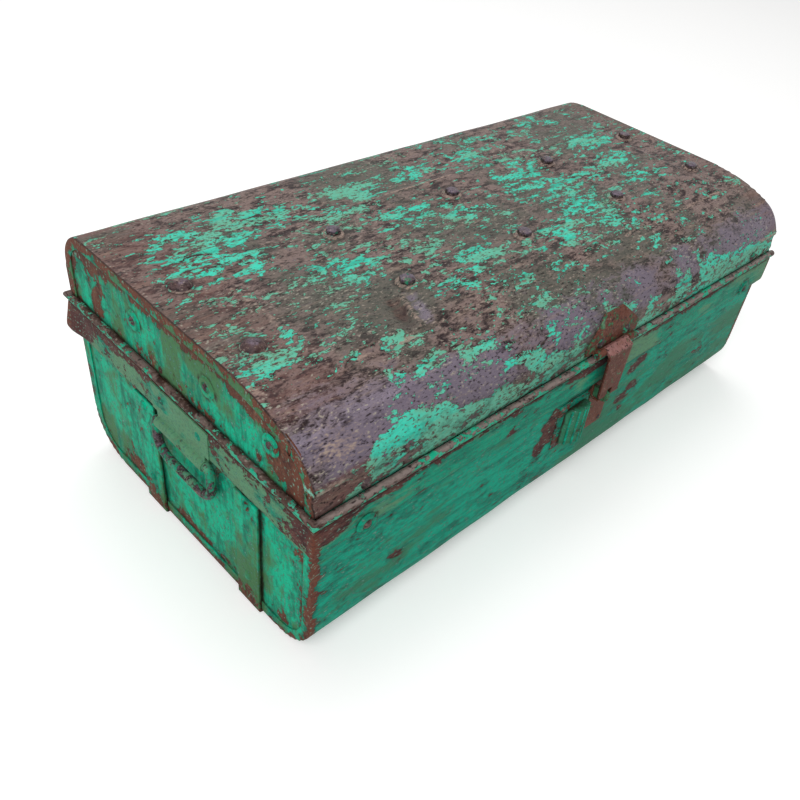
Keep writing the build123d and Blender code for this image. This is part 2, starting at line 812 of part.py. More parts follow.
# Bolts, washers and nuts that hold the strips
nut_seat = -sheet - strip_thickness
with BuildPart() as lid_bolts:
    for spot in bolt_spots:
        with BuildSketch(Plane.XY.offset(spot.Z + bolt_washer_thickness)):
            with Locations((spot.X, spot.Y)):
                RegularPolygon(bolt_head_width / 2, 6)
        extrude(amount=bolt_head_height)
        with BuildSketch(Plane.XY.offset(spot.Z + bolt_washer_thickness)):
            with Locations((spot.X, spot.Y)):
                Circle(bolt_diameter / 2)
        extrude(amount=nut_seat - nut_height - bolt_end - bolt_washer_thickness)
keep(lid_bolts, "lid_bolts")

with BuildPart() as lid_bolt_washers:
    for spot in bolt_spots:
        with BuildSketch(Plane.XY.offset(spot.Z)):
            with Locations((spot.X, spot.Y)):
                Circle(bolt_washer_width / 2)
                Circle(bolt_hole, mode=Mode.SUBTRACT)
        extrude(amount=bolt_washer_thickness)
keep(lid_bolt_washers, "lid_bolt_washers")

with BuildPart() as lid_nuts:
    for spot in bolt_spots:
        with BuildSketch(Plane.XY.offset(spot.Z + nut_seat)):
            with Locations((spot.X, spot.Y)):
                RegularPolygon(nut_width / 2, 6)
                Circle(bolt_hole, mode=Mode.SUBTRACT)
        extrude(amount=-nut_height)
keep(lid_nuts, "lid_nuts")

# Hasp plate: follows the lid's front and curls round the hasp pin at both sides of the hasp
hasp_radius = hasp_barrel / 2
hasp_axis_depth = lid_half_depth + hasp_plate_thickness + rest_gap + hasp_radius
hasp_axis_height = bead_top + rest_gap + hasp_radius
hasp_gap_width = hasp_width / 2 + hasp_knuckle_gap
knuckle_reach = hasp_gap_width + hasp_side_knuckle
plate_shoulder = hasp_axis_height + hasp_plate_shoulder
plate_head = hasp_axis_height + hasp_plate_height
with BuildPart() as hasp_plate:
    with BuildSketch(Plane.YZ.offset(latch_place - hasp_plate_width / 2)):
        add(lid_outline(-hasp_plate_thickness, hasp_axis_height))
        add(lid_outline(0, rim_height), mode=Mode.SUBTRACT)
    extrude(amount=hasp_plate_width)
    with BuildSketch(Plane.XZ.offset(lid_half_depth - bottom_radius)):
        with BuildLine():
            Polyline(
                (latch_place - hasp_plate_width / 2, hasp_axis_height),
                (latch_place + hasp_plate_width / 2, hasp_axis_height),
                (latch_place + hasp_plate_width / 2, plate_shoulder),
                (latch_place + hasp_plate_top_width / 2, plate_head),
                (latch_place - hasp_plate_top_width / 2, plate_head),
                (latch_place - hasp_plate_width / 2, plate_shoulder),
                close=True,
            )
        make_face()
    extrude(amount=2 * bottom_radius, mode=Mode.INTERSECT)
    for start in (latch_place - knuckle_reach, latch_place + hasp_gap_width):
        with BuildSketch(Plane.YZ.offset(start)):
            with BuildLine():
                Polyline(
                    (-lid_half_depth, hasp_axis_height),
                    (-lid_half_depth, hasp_axis_height + hasp_radius / 2),
                    (-hasp_axis_depth, hasp_axis_height + hasp_radius / 2),
                    (-hasp_axis_depth, hasp_axis_height),
                    close=True,
                )
            make_face()
            with Locations((-hasp_axis_depth, hasp_axis_height)):
                Circle(hasp_radius)
                Circle(hasp_pin_diameter / 2 + pin_clearance, mode=Mode.SUBTRACT)
        extrude(amount=hasp_side_knuckle)
    with spots(hasp_rivet_spots):
        Hole(radius=rivet_grip_hole, depth=overrun)
keep(hasp_plate, "hasp_plate")

with BuildPart() as hasp_pin:
    with BuildSketch(Plane.YZ.offset(latch_place - knuckle_reach - pin_overhang)):
        with Locations((-hasp_axis_depth, hasp_axis_height)):
            Circle(hasp_pin_diameter / 2)
    extrude(amount=2 * (knuckle_reach + pin_overhang))
keep(hasp_pin, "hasp_pin")

with BuildPart() as hasp_rivets:
    with spots(hasp_rivet_spots):
        add(rivet_form(rivet_head_width, rivet_head_height, rivet_shank,
                       hasp_plate_thickness + sheet, rivet_tail_width, rivet_tail_height))
keep(hasp_rivets, "hasp_rivets")

# Hasp: knuckle, step out over the band, strap down to a notched foot
hasp_face = half_depth + hasp_standoff
hasp_foot = hasp_axis_height - hasp_drop
hasp_step_top = hasp_axis_height + hasp_radius
with BuildPart() as hasp_strap:
    with BuildSketch(Plane.YZ.offset(latch_place - hasp_width / 2)):
        with BuildLine():
            Polyline(
                (-hasp_axis_depth, hasp_step_top),
                (-hasp_face, hasp_step_top - hasp_step_fall),
                (-hasp_face, hasp_foot),
                (-hasp_face + hasp_thickness, hasp_foot),
                (-hasp_face + hasp_thickness, hasp_step_top - hasp_step_fall - hasp_thickness),
                (-hasp_axis_depth, hasp_step_top - hasp_thickness),
                close=True,
            )
        make_face()
        with Locations((-hasp_axis_depth, hasp_axis_height)):
            Circle(hasp_radius)
            Circle(hasp_pin_diameter / 2 + pin_clearance, mode=Mode.SUBTRACT)
    extrude(amount=hasp_width)
    with BuildSketch(Plane.XZ.offset(lid_half_depth - sheet)) as hasp_front:
        with BuildLine():
            Polyline(
                (latch_place - hasp_width / 2, hasp_step_top),
                (latch_place - hasp_foot_width / 2, hasp_foot),
                (latch_place + hasp_foot_width / 2, hasp_foot),
                (latch_place + hasp_width / 2, hasp_step_top),
                close=True,
            )
        make_face()
        fillet(hasp_front.vertices().group_by(Axis.Y)[0], radius=hasp_foot_radius)
        with Locations((latch_place, hasp_foot + hasp_notch_depth / 2)):
            Rectangle(hasp_notch_width, hasp_notch_depth, mode=Mode.SUBTRACT)
    extrude(amount=overrun, mode=Mode.INTERSECT)
keep(hasp_strap, "hasp_strap")

# Staple plate below the band, with a ledge under the staple
plate_face = case_half_depth + staple_plate_thickness
staple_plate_top = band_foot - strap_top_gap
with BuildPart() as staple_plate:
    with BuildSketch(Plane.YZ.offset(staple_plate_place - staple_plate_width / 2)):
        with BuildLine():
            Polyline(
                (-case_half_depth, staple_plate_top),
                (-plate_face, staple_plate_top),
                (-plate_face, ledge_top),
                (-plate_face - staple_ledge, ledge_top),
                (-plate_face - staple_ledge, ledge_top - staple_plate_thickness),
                (-plate_face, ledge_top - staple_plate_thickness),
                (-plate_face, staple_plate_foot),
                (-case_half_depth, staple_plate_foot),
                close=True,
            )
        make_face()
    extrude(amount=staple_plate_width)
    with spots(staple_rivet_spots):
        Hole(radius=lock_grip_hole, depth=overrun)
keep(staple_plate, "staple_plate")

# Staple: a flat tongue with a rounded nose, standing in the notch of the hasp
with BuildPart() as staple:
    with BuildSketch(Plane.YZ.offset(latch_place - staple_thickness / 2)) as staple_side:
        with Locations((-(plate_face + rear_reach) / 2, staple_top - staple_height / 2)):
            Rectangle(rear_reach - plate_face, staple_height)
        fillet(staple_side.vertices().group_by(Axis.X)[0], radius=staple_height / 2 - fit_gap)
    extrude(amount=staple_thickness)
keep(staple, "staple")

# Lock beside the staple: thin plate under a hollow shell, the shell ribbed from top to bottom
lock_face = case_half_depth + lock_plate_thickness
shell_middle = lock_right - lock_plate_gap - lock_shell_width / 2
shell_foot = lock_plate_foot + lock_shell_lift
with BuildPart() as lock_plate:
    with BuildSketch(Plane.XZ.offset(case_half_depth)):
        with Locations(((lock_left + lock_right) / 2, (lock_plate_foot + lock_plate_top) / 2)):
            Rectangle(lock_plate_width, lock_plate_height)
    extrude(amount=lock_plate_thickness)
    with spots(lock_rivet_spots):
        Hole(radius=lock_grip_hole, depth=overrun)
keep(lock_plate, "lock_plate")


# Bulged block in front of the lock plate, moved in by the inset
def shell_block(inset):
    half = lock_shell_width / 2 - inset
    with BuildPart() as block:
        with BuildSketch(Plane.XY.offset(shell_foot + inset)):
            with BuildLine():
                arc = ThreePointArc(
                    (shell_middle - half, -lock_face),
                    (shell_middle, -lock_face - lock_shell_bulge + inset),
                    (shell_middle + half, -lock_face),
                )
                Line(arc @ 1, arc @ 0)
            make_face()
            if inset == 0:
                for index in range(lock_rib_count):
                    with Locations(arc @ ((index + 1) / (lock_rib_count + 1))):
                        Circle(lock_rib_width / 2)
        extrude(amount=lock_shell_height - 2 * inset)
        with BuildSketch(Plane.XZ.offset(lock_face)) as front:
            with Locations((shell_middle, shell_foot + lock_shell_height / 2)):
                Rectangle(2 * half, lock_shell_height - 2 * inset)
            fillet(front.vertices().group_by(Axis.Y)[-1], radius=lock_shell_round - inset)
        extrude(amount=overrun, mode=Mode.INTERSECT)
    return block.part


with BuildPart() as lock_shell:
    add(shell_block(0))
    add(shell_block(sheet), mode=Mode.SUBTRACT)
keep(lock_shell, "lock_shell")

with BuildPart() as lock_rivets:
    for places, thickness in (
        (staple_rivet_spots, staple_plate_thickness),
        (lock_rivet_spots, lock_plate_thickness),
    ):
        with spots(places):
            add(rivet_form(lock_rivet_width, lock_rivet_height, lock_rivet_shank,
                           thickness + sheet, lock_rivet_width, rivet_tail_height))
keep(lock_rivets, "lock_rivets")
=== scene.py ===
import math

import bmesh
import bpy
from mathutils import Matrix, Vector, noise


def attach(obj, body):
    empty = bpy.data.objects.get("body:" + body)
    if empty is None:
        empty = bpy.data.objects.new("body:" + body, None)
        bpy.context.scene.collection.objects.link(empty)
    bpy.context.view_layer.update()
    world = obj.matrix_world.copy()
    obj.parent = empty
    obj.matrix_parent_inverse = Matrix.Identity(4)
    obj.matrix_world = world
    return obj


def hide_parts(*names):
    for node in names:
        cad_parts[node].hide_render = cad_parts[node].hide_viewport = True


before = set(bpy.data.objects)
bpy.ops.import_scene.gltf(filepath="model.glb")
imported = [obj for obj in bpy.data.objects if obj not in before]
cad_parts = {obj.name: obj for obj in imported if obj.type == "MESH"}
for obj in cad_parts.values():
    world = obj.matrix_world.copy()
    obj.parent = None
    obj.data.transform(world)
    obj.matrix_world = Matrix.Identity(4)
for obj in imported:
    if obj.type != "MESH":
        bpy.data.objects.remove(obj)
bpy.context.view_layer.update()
# drawn in millimetres, from the same origin as the solids; makePiece turns them to metres
mm = 0.001
sheetThickness = 1.0
touch = 0.01    # points nearer than this are one place
bevelRest = {"offset_type": "OFFSET", "profile": 0.5, "material": -1}


# sRGB hex to the linear colour that a shader takes
def linear(code):
    parts = [int(code[start:start + 2], 16) / 255 for start in (1, 3, 5)]
    return [p / 12.92 if p <= 0.04045 else ((p + 0.055) / 1.055) ** 2.4 for p in parts] + [1]


# Adds one shader node: plain values fill its sockets, and other nodes' sockets or first outputs are linked
def addNode(tree, kind, sockets=None, **settings):
    node = tree.nodes.new("ShaderNode" + kind)
    for key, value in settings.items():
        setattr(node, key, value)
    for key, value in (sockets or {}).items():
        if isinstance(value, bpy.types.Node):
            value = value.outputs[0]
        if isinstance(value, bpy.types.NodeSocket):
            tree.links.new(value, node.inputs[key])
        else:
            node.inputs[key].default_value = value
    return node


def smoothStep(low, high, value):
    share = min(1, max(0, (value - low) / (high - low)))
    return share * share * (3 - 2 * share)


# Turns a finished bmesh in millimetres into a piece that rides on a body
def makePiece(name, bm, materials, body, nodes=(), smoothAngle=40, flange=None):
    for face in bm.faces:
        if flange and all(abs(vert.co.x) > flange - 0.4 for vert in face.verts):
            face.material_index = 2
    bmesh.ops.scale(bm, vec=(mm, mm, mm), verts=bm.verts)
    for face in bm.faces:
        face.smooth = True
    for edge in bm.edges:
        edge.smooth = len(edge.link_faces) != 2 or edge.calc_face_angle(0) < math.radians(smoothAngle)
    mesh = bpy.data.meshes.new(name)
    bm.to_mesh(mesh)
    bm.free()
    for material in materials:
        mesh.materials.append(material)
    piece = bpy.data.objects.new(name, mesh)
    bpy.context.scene.collection.objects.link(piece)
    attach(piece, body)
    if nodes:
        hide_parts(*nodes)
    return piece


# Gives an open sheet its thickness, inwards; the inner face takes the piece's second material
def giveThickness(piece):
    solid = piece.modifiers.new("thickness", "SOLIDIFY")
    solid.thickness = sheetThickness * mm
    solid.offset = -1
    solid.material_offset = 1
    solid.material_offset_rim = 0


# The vertices among what an operator hands back
def vertsOf(geom):
    return [item for item in geom if isinstance(item, bmesh.types.BMVert)]


# Wire in the YZ plane at x through (y, z, bevel offset, segments), its long runs cut to the step
def profileWire(bm, x, corners, step):
    verts = [bm.verts.new((x, y, z)) for y, z, offset, segments in corners]
    for pair in zip(verts, verts[1:]):
        bm.edges.new(pair)
    for vert, (y, z, offset, segments) in zip(verts, corners):
        if offset:
            bmesh.ops.bevel(bm, geom=[vert], offset=offset, segments=segments, affect="VERTICES", **bevelRest)
    for edge in list(bm.edges):
        cuts = round(edge.calc_length() / step) - 1
        if cuts > 0:
            bmesh.ops.subdivide_edges(bm, edges=[edge], cuts=cuts)


# Sheet from that wire, along X from end to end, in a grid of about the step
def sheetFromWire(bm, corners, halfLength, step):
    profileWire(bm, -halfLength, corners, step)
    grown = bmesh.ops.extrude_edge_only(bm, edges=bm.edges[:])["geom"]
    bmesh.ops.translate(bm, vec=(2 * halfLength, 0, 0), verts=vertsOf(grown))
    along = [e for e in bm.edges if abs(e.verts[0].co.x - e.verts[1].co.x) > 1]
    bmesh.ops.subdivide_edges(bm, edges=along, cuts=round(2 * halfLength / step) - 1, use_grid_fill=True)
    bmesh.ops.recalc_face_normals(bm, faces=bm.faces)


# Makes an open sheet's faces look away from the middle of the trunk
def faceOutwards(bm, middle):
    total = sum((face.calc_center_median() - middle).dot(face.normal) * face.calc_area() for face in bm.faces)
    if total < 0:
        bmesh.ops.reverse_faces(bm, faces=bm.faces)
    bm.normal_update()


# Folds both end edges of a sheet in over the trunk's ends, with a soft fold
def foldEnds(bm, halfLength, width, soft, lowest):
    bm.normal_update()
    foldedIn = bm.verts.layers.float.new("foldedIn")
    for side in (-1, 1):
        rim = [e for e in bm.edges if all(abs(v.co.x - side * halfLength) < touch and v.co.z > lowest - touch
                for v in e.verts)]
        inwards = {vert: -vert.normal.normalized() for edge in rim for vert in edge.verts}
        for vert in vertsOf(bmesh.ops.extrude_edge_only(bm, edges=rim)["geom"]):
            push = next(inwards[e.other_vert(vert)] for e in vert.link_edges if e.other_vert(vert) in inwards)
            vert.co += Vector((0, push.y, push.z)).normalized() * width
            vert[foldedIn] = 1
        folded = [e for e in rim if e.is_valid and len(e.link_faces) == 2]
        bmesh.ops.bevel(bm, geom=folded, offset=soft, segments=3, affect="EDGES", **bevelRest)
        acrossFold = [e for e in bm.edges if (e.verts[0][foldedIn] > 0.9) != (e.verts[1][foldedIn] > 0.9)]
        bmesh.ops.subdivide_edges(bm, edges=acrossFold, cuts=3, use_grid_fill=True)


# Sheet iron under brushed enamel that holds in flakes and lets oxidised metal through.
# The eye gets ragged flakes with a dark stained rim, olive dust, a fine pale speckle and a dull, uneven gloss, with a
# painted sheen, painted highlights and painted shade where the pieces mark them.
def paintedIron(name, look):
    material = bpy.data.materials.new(name)
    material.use_nodes = True
    tree = material.node_tree
    tree.nodes.clear()
    place = addNode(tree, "TexCoord").outputs["Object"]
    drawn = addNode(tree, "Mapping", {0: place, "Scale": look["stretch"]})
    brushed = addNode(tree, "Mapping", {0: place, "Scale": look["streakStretch"]})

    # patterns by name: where they are read, size in mm, detail, roughness, distortion
    signals = {}
    for key, where, size, detail, rough, bent in (
            ("flakes", drawn, look["flakeSize"], 5.0, look["ragged"], 0.5),
            ("chips", drawn, look["chipSize"], 2.0, 0.6, 0), ("middle", drawn, 34, 4.0, 0.6, 0),
            ("broad", place, 95, 3.0, 0.55, 0), ("mottle", drawn, 6.5, 4.0, 0.72, 0.3),
            ("grit", drawn, 1.7, 1.0, 0.6, 0), ("streaks", brushed, 6, 5.0, 0.68, 0)):
        signals[key] = addNode(tree, "TexNoise", {"Vector": where, "Scale": 1 / (size * mm), "Detail": detail,
                "Roughness": rough, "Distortion": bent})
    # what the pieces themselves say of their wear, and where they carry painted sheen, highlights and shade
    for key in ("paintKept", "rusted", "rubbedAndSheen", "oiled", "grimeAndShade", "paleWearAndHighlight"):
        signals[key] = addNode(tree, "Attribute", attribute_name=key).outputs["Fac"]

    # lift is how far each point is inside the paint: over 0 it is painted
    middleOfAll = 0.5 * (1 + look["chipShare"] + look["middleShare"] + look["broadShare"])
    signals["least"] = addNode(tree, "Math", {0: signals["flakes"], 1: middleOfAll + look["bareBias"]},
            operation="SUBTRACT")
    # each sum is the first signal times its gain, plus the second
    for key, first, gain, second in (
            ("lift", "chips", look["chipShare"], "least"), ("lift", "middle", look["middleShare"], "lift"),
            ("lift", "broad", look["broadShare"], "lift"), ("lift", "paintKept", 0.09, "lift"),
            ("depth", "mottle", 0.5, "lift"), ("sheen", "rubbedAndSheen", 0.35, "mottle"), ("rust", "rusted", 1.0, "streaks"),
            ("specks", "middle", 0.5, "grit"), ("film", "streaks", 0.6, "middle"), ("dust", "oiled", 0.35, "film"),
            ("pale", "paleWearAndHighlight", 0.4, "grit"), ("grimeAndShadeSum", "grimeAndShade", 0.5, "mottle")):
        signals[key] = addNode(tree, "Math", {0: signals[first], 1: gain, 2: signals[second]}, operation="MULTIPLY_ADD")
    paint = addNode(tree, "MapRange", {"Value": signals["lift"], "From Min": -0.004, "From Max": 0.004})

    # bare metal: mottled, a painted sheen, rust, rubbed scratches, pale specks, dark pits and a stain along the paint;
    # coat: dull at its edges, bright inside, mottled, gone olive with oil and dust, with fine dark flecks
    tones = {"bare": linear(look["bareDark"]), "coat": linear(look["paintDull"])}
    for on, driver, tone, least, most, strength in (
            ("bare", "mottle", "barePale", 0.41, 0.57, 1), ("bare", "broad", "bareThird", 0.46, 0.58, 0.75),
            ("bare", "sheen", "paintedSheenTone", 0.6, 0.85, 0.9), ("bare", "rust", "rustTone", 0.72, 1.2, 1),
            ("bare", "streaks", "rubbedTone", 0.57, 0.7, look["rubbedShare"]),
            ("bare", "specks", "speckTone", 0.9, 1.0, look["speckShare"]),
            ("bare", "grit", "stainTone", 0.42, 0.3, look["pitTint"]),
            ("bare", "lift", "stainTone", -0.018, -0.002, look["stainShare"]),
            ("coat", "depth", "paintBright", 0.25 + look["dullReach"], 0.25 + look["brightReach"], 1),
            ("coat", "streaks", "paintDeep", 0.5, 0.36, look["deepShare"]),
            ("coat", "mottle", "paintDeep", 0.45, 0.33, look["deepShare"]),
            ("coat", "dust", "dustTone", look["dustFrom"], look["dustFrom"] + 0.12, look["dustShare"]),
            ("coat", "grit", "stainTone", 0.58, 0.68, look["fleckShare"]),
            # over both: pale wear with painted highlights, then grime with painted shade
            ("both", "pale", "paleWearAndHighlightTone", 0.6, 0.9, 0.85), ("both", "grimeAndShadeSum", "grimeAndShadeTone", 0.58, 0.92, 0.92)):
        if on not in tones:
            tones[on] = addNode(tree, "Mix", {0: paint, 6: tones["bare"], 7: tones["coat"]},
                    data_type="RGBA").outputs[2]
        share = addNode(tree, "MapRange", {"Value": signals[driver], "From Min": least, "From Max": most,
                "To Max": strength})
        tones[on] = addNode(tree, "Mix", {0: share, 6: tones[on], 7: linear(look[tone])}, data_type="RGBA").outputs[2]

    # gloss: chalky paint is duller than the rubbed metal
    gloss = addNode(tree, "MapRange", {"Value": signals["grit"], "From Min": 0.3, "From Max": 0.7,
            "To Min": look["bareRough"] - 0.08, "To Max": look["bareRough"] + 0.1})
    polished = addNode(tree, "Math", {0: signals["rubbedAndSheen"], 1: -0.14, 2: gloss}, operation="MULTIPLY_ADD")
    rough = addNode(tree, "Mix", {0: paint, 2: polished, 3: look["paintRough"]}, data_type="FLOAT")
    bareMetal = addNode(tree, "Math", {0: signals["rubbedAndSheen"], 1: 0.22, 2: 0.04}, operation="MULTIPLY_ADD")
    metal = addNode(tree, "Mix", {0: paint, 2: bareMetal, 3: 0.0}, data_type="FLOAT")

    # relief in mm: paint 0.2 mm thick, drawn thicker so that it shows, over pitted metal
    thick = addNode(tree, "MapRange", {"Value": signals["lift"], "From Min": -0.014, "From Max": 0.014})
    relief = addNode(tree, "Bump", {"Height": thick, "Distance": 0.35 * mm, "Strength": 1.0})
    for driver, height, strength in (("middle", 3.0, 0.6), ("mottle", 0.8, 1), ("grit", 0.45, 1)):
        relief = addNode(tree, "Bump", {"Height": signals[driver], "Distance": height * mm,
                "Strength": strength * look["pitShare"], "Normal": relief})
    shader = addNode(tree, "BsdfPrincipled", {"Base Color": tones["both"], "Roughness": rough,
            "Metallic": metal, "Normal": relief, "Specular IOR Level": 0.12})
    addNode(tree, "OutputMaterial", {"Surface": shader})
    return material


# Brushed turquoise enamel worn down to purple-brown oxidised sheet: the lid's top, flakes and bare metal
lidLook = {
    "stretch": (0.5, 1.0, 1.0), "streakStretch": (0.1, 1.0, 1.0), "flakeSize": 8.5, "ragged": 0.72, "chipSize": 2.6,
    "broadShare": 0.15, "middleShare": 0.3, "chipShare": 0.5, "bareBias": 0.025,
    "dullReach": -0.03, "brightReach": 0.1, "stainShare": 0.6,
    "bareDark": "#2a1e20", "barePale": "#84716b", "bareThird": "#56584f", "paintedSheenTone": "#756b79",
    "rustTone": "#6f4d48", "rubbedTone": "#9c8878", "rubbedShare": 0.45, "speckTone": "#a0a698", "speckShare": 0.7,
    "pitTint": 0.85, "stainTone": "#201516", "paleWearAndHighlightTone": "#a28c80", "grimeAndShadeTone": "#241816",
    "paintDull": "#64b094", "paintBright": "#44d6ba", "paintDeep": "#27907a", "deepShare": 0.55,
    "dustTone": "#7f9478", "dustFrom": 0.84, "dustShare": 0.5, "fleckShare": 0.95,
    "bareRough": 0.5, "paintRough": 0.6, "pitShare": 0.7}
lidPaint = paintedIron("wornLidEnamel", lidLook)

# The same enamel, mostly whole, on the case and the lid's ends, chipped to maroon oxide
caseLook = {
    "stretch": (0.45, 0.8, 1.0), "streakStretch": (0.1, 0.3, 1.0), "flakeSize": 12, "ragged": 0.68, "chipSize": 3.0,
    "broadShare": 0.2, "middleShare": 0.35, "chipShare": 0.35, "bareBias": -0.155,
    "dullReach": 0.0, "brightReach": 0.2, "stainShare": 0.6,
    "bareDark": "#3a1f20", "barePale": "#65403a", "bareThird": "#4d2d2d", "paintedSheenTone": "#5a3038",
    "rustTone": "#6e3f30", "rubbedTone": "#8a6a52", "rubbedShare": 0.3, "speckTone": "#8f9a86", "speckShare": 0.12,
    "pitTint": 0.5, "stainTone": "#1f1412", "paleWearAndHighlightTone": "#7fd0b8", "grimeAndShadeTone": "#2a1a12",
    "paintDull": "#166f5c", "paintBright": "#00a284", "paintDeep": "#065648", "deepShare": 0.5,
    "dustTone": "#3d6848", "dustFrom": 0.88, "dustShare": 0.7, "fleckShare": 0.85,
    "bareRough": 0.6, "paintRough": 0.55, "pitShare": 0.6}
casePaint = paintedIron("chippedCaseEnamel", caseLook)

# The ends, where the enamel stayed brighter between olive grime and rust-brown chips
endLook = {**caseLook, "stretch": (1.0, 0.7, 0.6), "streakStretch": (1.0, 0.5, 0.12), "bareBias": -0.14,
        "paintBright": "#00b78e", "paintDull": "#188166", "paintDeep": "#0b6650", "dustTone": "#4a6a3e",
        "dustFrom": 0.84, "dustShare": 0.85, "deepShare": 0.85, "bareDark": "#3f2420", "barePale": "#6f4634",
        "bareThird": "#54342a"}
endPaint = paintedIron("brightEndEnamel", endLook)

# The same enamel gone olive with oil and dust: the band and the handle plates
bandPaint = paintedIron("oliveBandEnamel", {
    **caseLook, "flakeSize": 10, "bareBias": -0.13, "dustFrom": 0.82, "dustTone": "#6b8a66", "paintBright": "#029878",
    "paintDull": "#1d745e"})

# Rolled edge rubbed to grey-pink metal on its crest, lightened there by a painted highlight, with turquoise left in its
# hollows
beadPaint = paintedIron("rubbedRollEnamel", {
    **lidLook, "stretch": (0.4, 0.4, 1.0), "streakStretch": (0.3, 0.3, 1.0), "flakeSize": 7, "bareBias": 0.03,
    "bareDark": "#36251f", "barePale": "#6f5d56", "bareThird": "#54443d", "paintedSheenTone": "#8a7c77",
    "rustTone": "#4a2c24", "rubbedTone": "#a89c96", "rubbedShare": 0.5, "middleShare": 0.2, "speckTone": "#a39a94",
    "speckShare": 0.4, "paintBright": "#20ae88", "dustShare": 0.4, "pitShare": 0.2})

# Hot-rolled iron under red oxide: hasp, its plate and the staple plate, with olive paint left in patches
haspIron = paintedIron("redOxideIron", {
    **lidLook, "stretch": (0.8, 0.8, 0.8), "streakStretch": (0.8, 0.8, 0.3), "flakeSize": 7, "bareBias": 0.07,
    "bareDark": "#3d2019", "barePale": "#70443a", "bareThird": "#5a3127", "paintedSheenTone": "#996e6a",
    "rustTone": "#6e4234", "rubbedTone": "#8a6654", "rubbedShare": 0.35, "speckTone": "#a68c80", "speckShare": 0.3,
    "paintBright": "#3c7a58", "paintDull": "#525f3e", "paintDeep": "#384e38"})

# Turned and forged iron oxidised dark brown: rivets, bolts and the bails, with paint left on them
fixingIron = paintedIron("darkOxidedIron", {
    **lidLook, "stretch": (1.0, 1.0, 1.0), "streakStretch": (0.6, 0.6, 0.6), "flakeSize": 11, "chipShare": 0.2,
    "bareBias": 0.04, "bareDark": "#2c2122", "barePale": "#5a4a4b", "bareThird": "#43383a", "paintedSheenTone": "#6a5f6c",
    "rustTone": "#5a3c36", "paintBright": "#209a76", "paintDull": "#3a6a54", "speckShare": 0.4, "pitShare": 0.3})

# Inside of the sheets: mill sheet gone evenly brown and dull, with runs of old paint
insideIron = paintedIron("brownInnerSheet", {
    **lidLook, "stretch": (0.7, 1.0, 1.0), "flakeSize": 20, "bareBias": 0.2, "bareDark": "#41302a",
    "barePale": "#6f5b4e", "bareThird": "#5a4838", "speckTone": "#8d8072", "speckShare": 0.4,
    "rubbedTone": "#86705c", "rubbedShare": 0.25, "paintedSheenTone": "#66554a", "rustTone": "#674a3a",
    "paleWearAndHighlightTone": "#76634f", "paintBright": "#4c8a74", "paintDull": "#5a7a68", "bareRough": 0.62})

# Hoop iron of the strips under the lid: unpainted, darker and browner than the sheet
stripIron = paintedIron("darkHoopStrip", {
    **lidLook, "bareBias": 0.4, "bareDark": "#2b211e", "barePale": "#57473e", "bareThird": "#43382f",
    "paintedSheenTone": "#66554a", "rustTone": "#5c4033", "speckShare": 0.3})
print("materials made")


# The lid: its cross-section, length and the fold over its ends
lidSizes = {
    "halfDepth": 146.8, "top": 210.5, "foot": 152.7, "shoulder": 34.0, "crown": 174.0, "crownTurn": 22.0,
    "rear": 31.0, "halfLength": 290.8, "endSheet": 289.8, "grid": 3.0, "seamWidth": 9.0, "seamSoft": 1.6, "waver": 0.5,
}
# the raised panel pressed in the top, and the ridge it leaves round its border
panelSizes = {"end": 244.9, "front": -95.8, "rear": 63.8, "raise": 1.5, "slope": 10.0, "ridge": 0.9}
# knocks in the top: x, y, reach along x, reach along y, depth
lidKnocks = [
    (189, -80, 16, 10, 2.6), (-60, 40, 60, 30, 0.8),
    (120, 20, 70, 35, 0.8), (-276, -126, 26, 16, 2.0), (-228, -20, 22, 60, 0.9), (20, -118, 80, 14, 1.0),
    (262, -128, 26, 14, 2.0), (-60, -128, 50, 12, -0.8), (140, -126, 40, 12, 0.8), (-140, -134, 17, 12, 2.4),
]
# the deep wrinkle that runs from a bolt to the front: its ridge line, the fall to its left and to its right
wrinkle = {"start": (-149, -62), "end": (-158, -90), "left": 3.6, "right": 1.4, "reachLeft": 15, "reachRight": 13}
# where paint has held on the top: x, y, reach along x, reach along y, how well
lidPatches = [
    (-205, 67, 28, 15, 1.1), (-240, 46, 26, 14, 1.5), (-160, 82, 24, 13, 1.3), (-112, 55, 13, 9, 1.1),
    (-219, 27, 22, 13, 1.2), (-240, 87, 22, 10, 1.3), (-190, 96, 24, 8, 0.6), (-84, 84, 26, 9, 1.0),
    (-140, 57, 18, 12, 0.6), (-72, 70, 22, 9, 0.9), (-8, 78, 26, 10, 1.1), (55, 80, 30, 12, 0.7),
    (-62, 26, 28, 12, 1.25), (-20, 0, 22, 12, 1.0), (-152, -12, 27, 18, 1.0), (-98, -28, 17, 9, 0.8),
    (-60, -56, 22, 13, 1.2), (-100, -74, 24, 12, 1.0), (-268, -72, 20, 12, 0.8), (-240, -58, 14, 9, 0.5),
    (-118, -113, 24, 6, 0.8), (-132, -126, 18, 5, 1.2), (-186, -121, 24, 6, 0.9), (-188, -98, 24, 10, 0.6),
    (-57, -114, 18, 6, 0.8), (-12, -98, 18, 6, 0.9), (80, 24, 34, 16, 0.9), (52, 9, 16, 9, 0.7),
    (92, -8, 30, 15, 0.7), (78, -44, 30, 14, 1.0), (90, -76, 34, 13, 0.6), (24, -66, 27, 13, 1.0),
    (94, 48, 18, 9, 0.9), (104, 104, 20, 9, 0.9), (207, 44, 32, 15, 1.0), (198, 2, 30, 13, 0.8),
    (152, -8, 28, 16, 0.5), (194, -40, 22, 10, 0.9), (112, -110, 24, 7, 0.6), (168, -118, 22, 7, 0.5),
    (203, 106, 28, 10, 0.7), (292, 56, 18, 30, 0.5), (30, -30, 16, 9, -0.5), (-205, -30, 26, 20, -0.3),
    (-119, 14, 14, 10, -0.5), (-16, -48, 10, 8, -0.5),
]
# where the shoulder's rubbed metal takes a painted sheen: x, y, reach along x, reach along y, how much
shoulderRubsAndSheen = [(-140, -138, 22, 16, 1), (-215, -136, 40, 14, 1), (-262, -112, 26, 18, 1.4), (-220, -116, 26, 12, 1.0)]
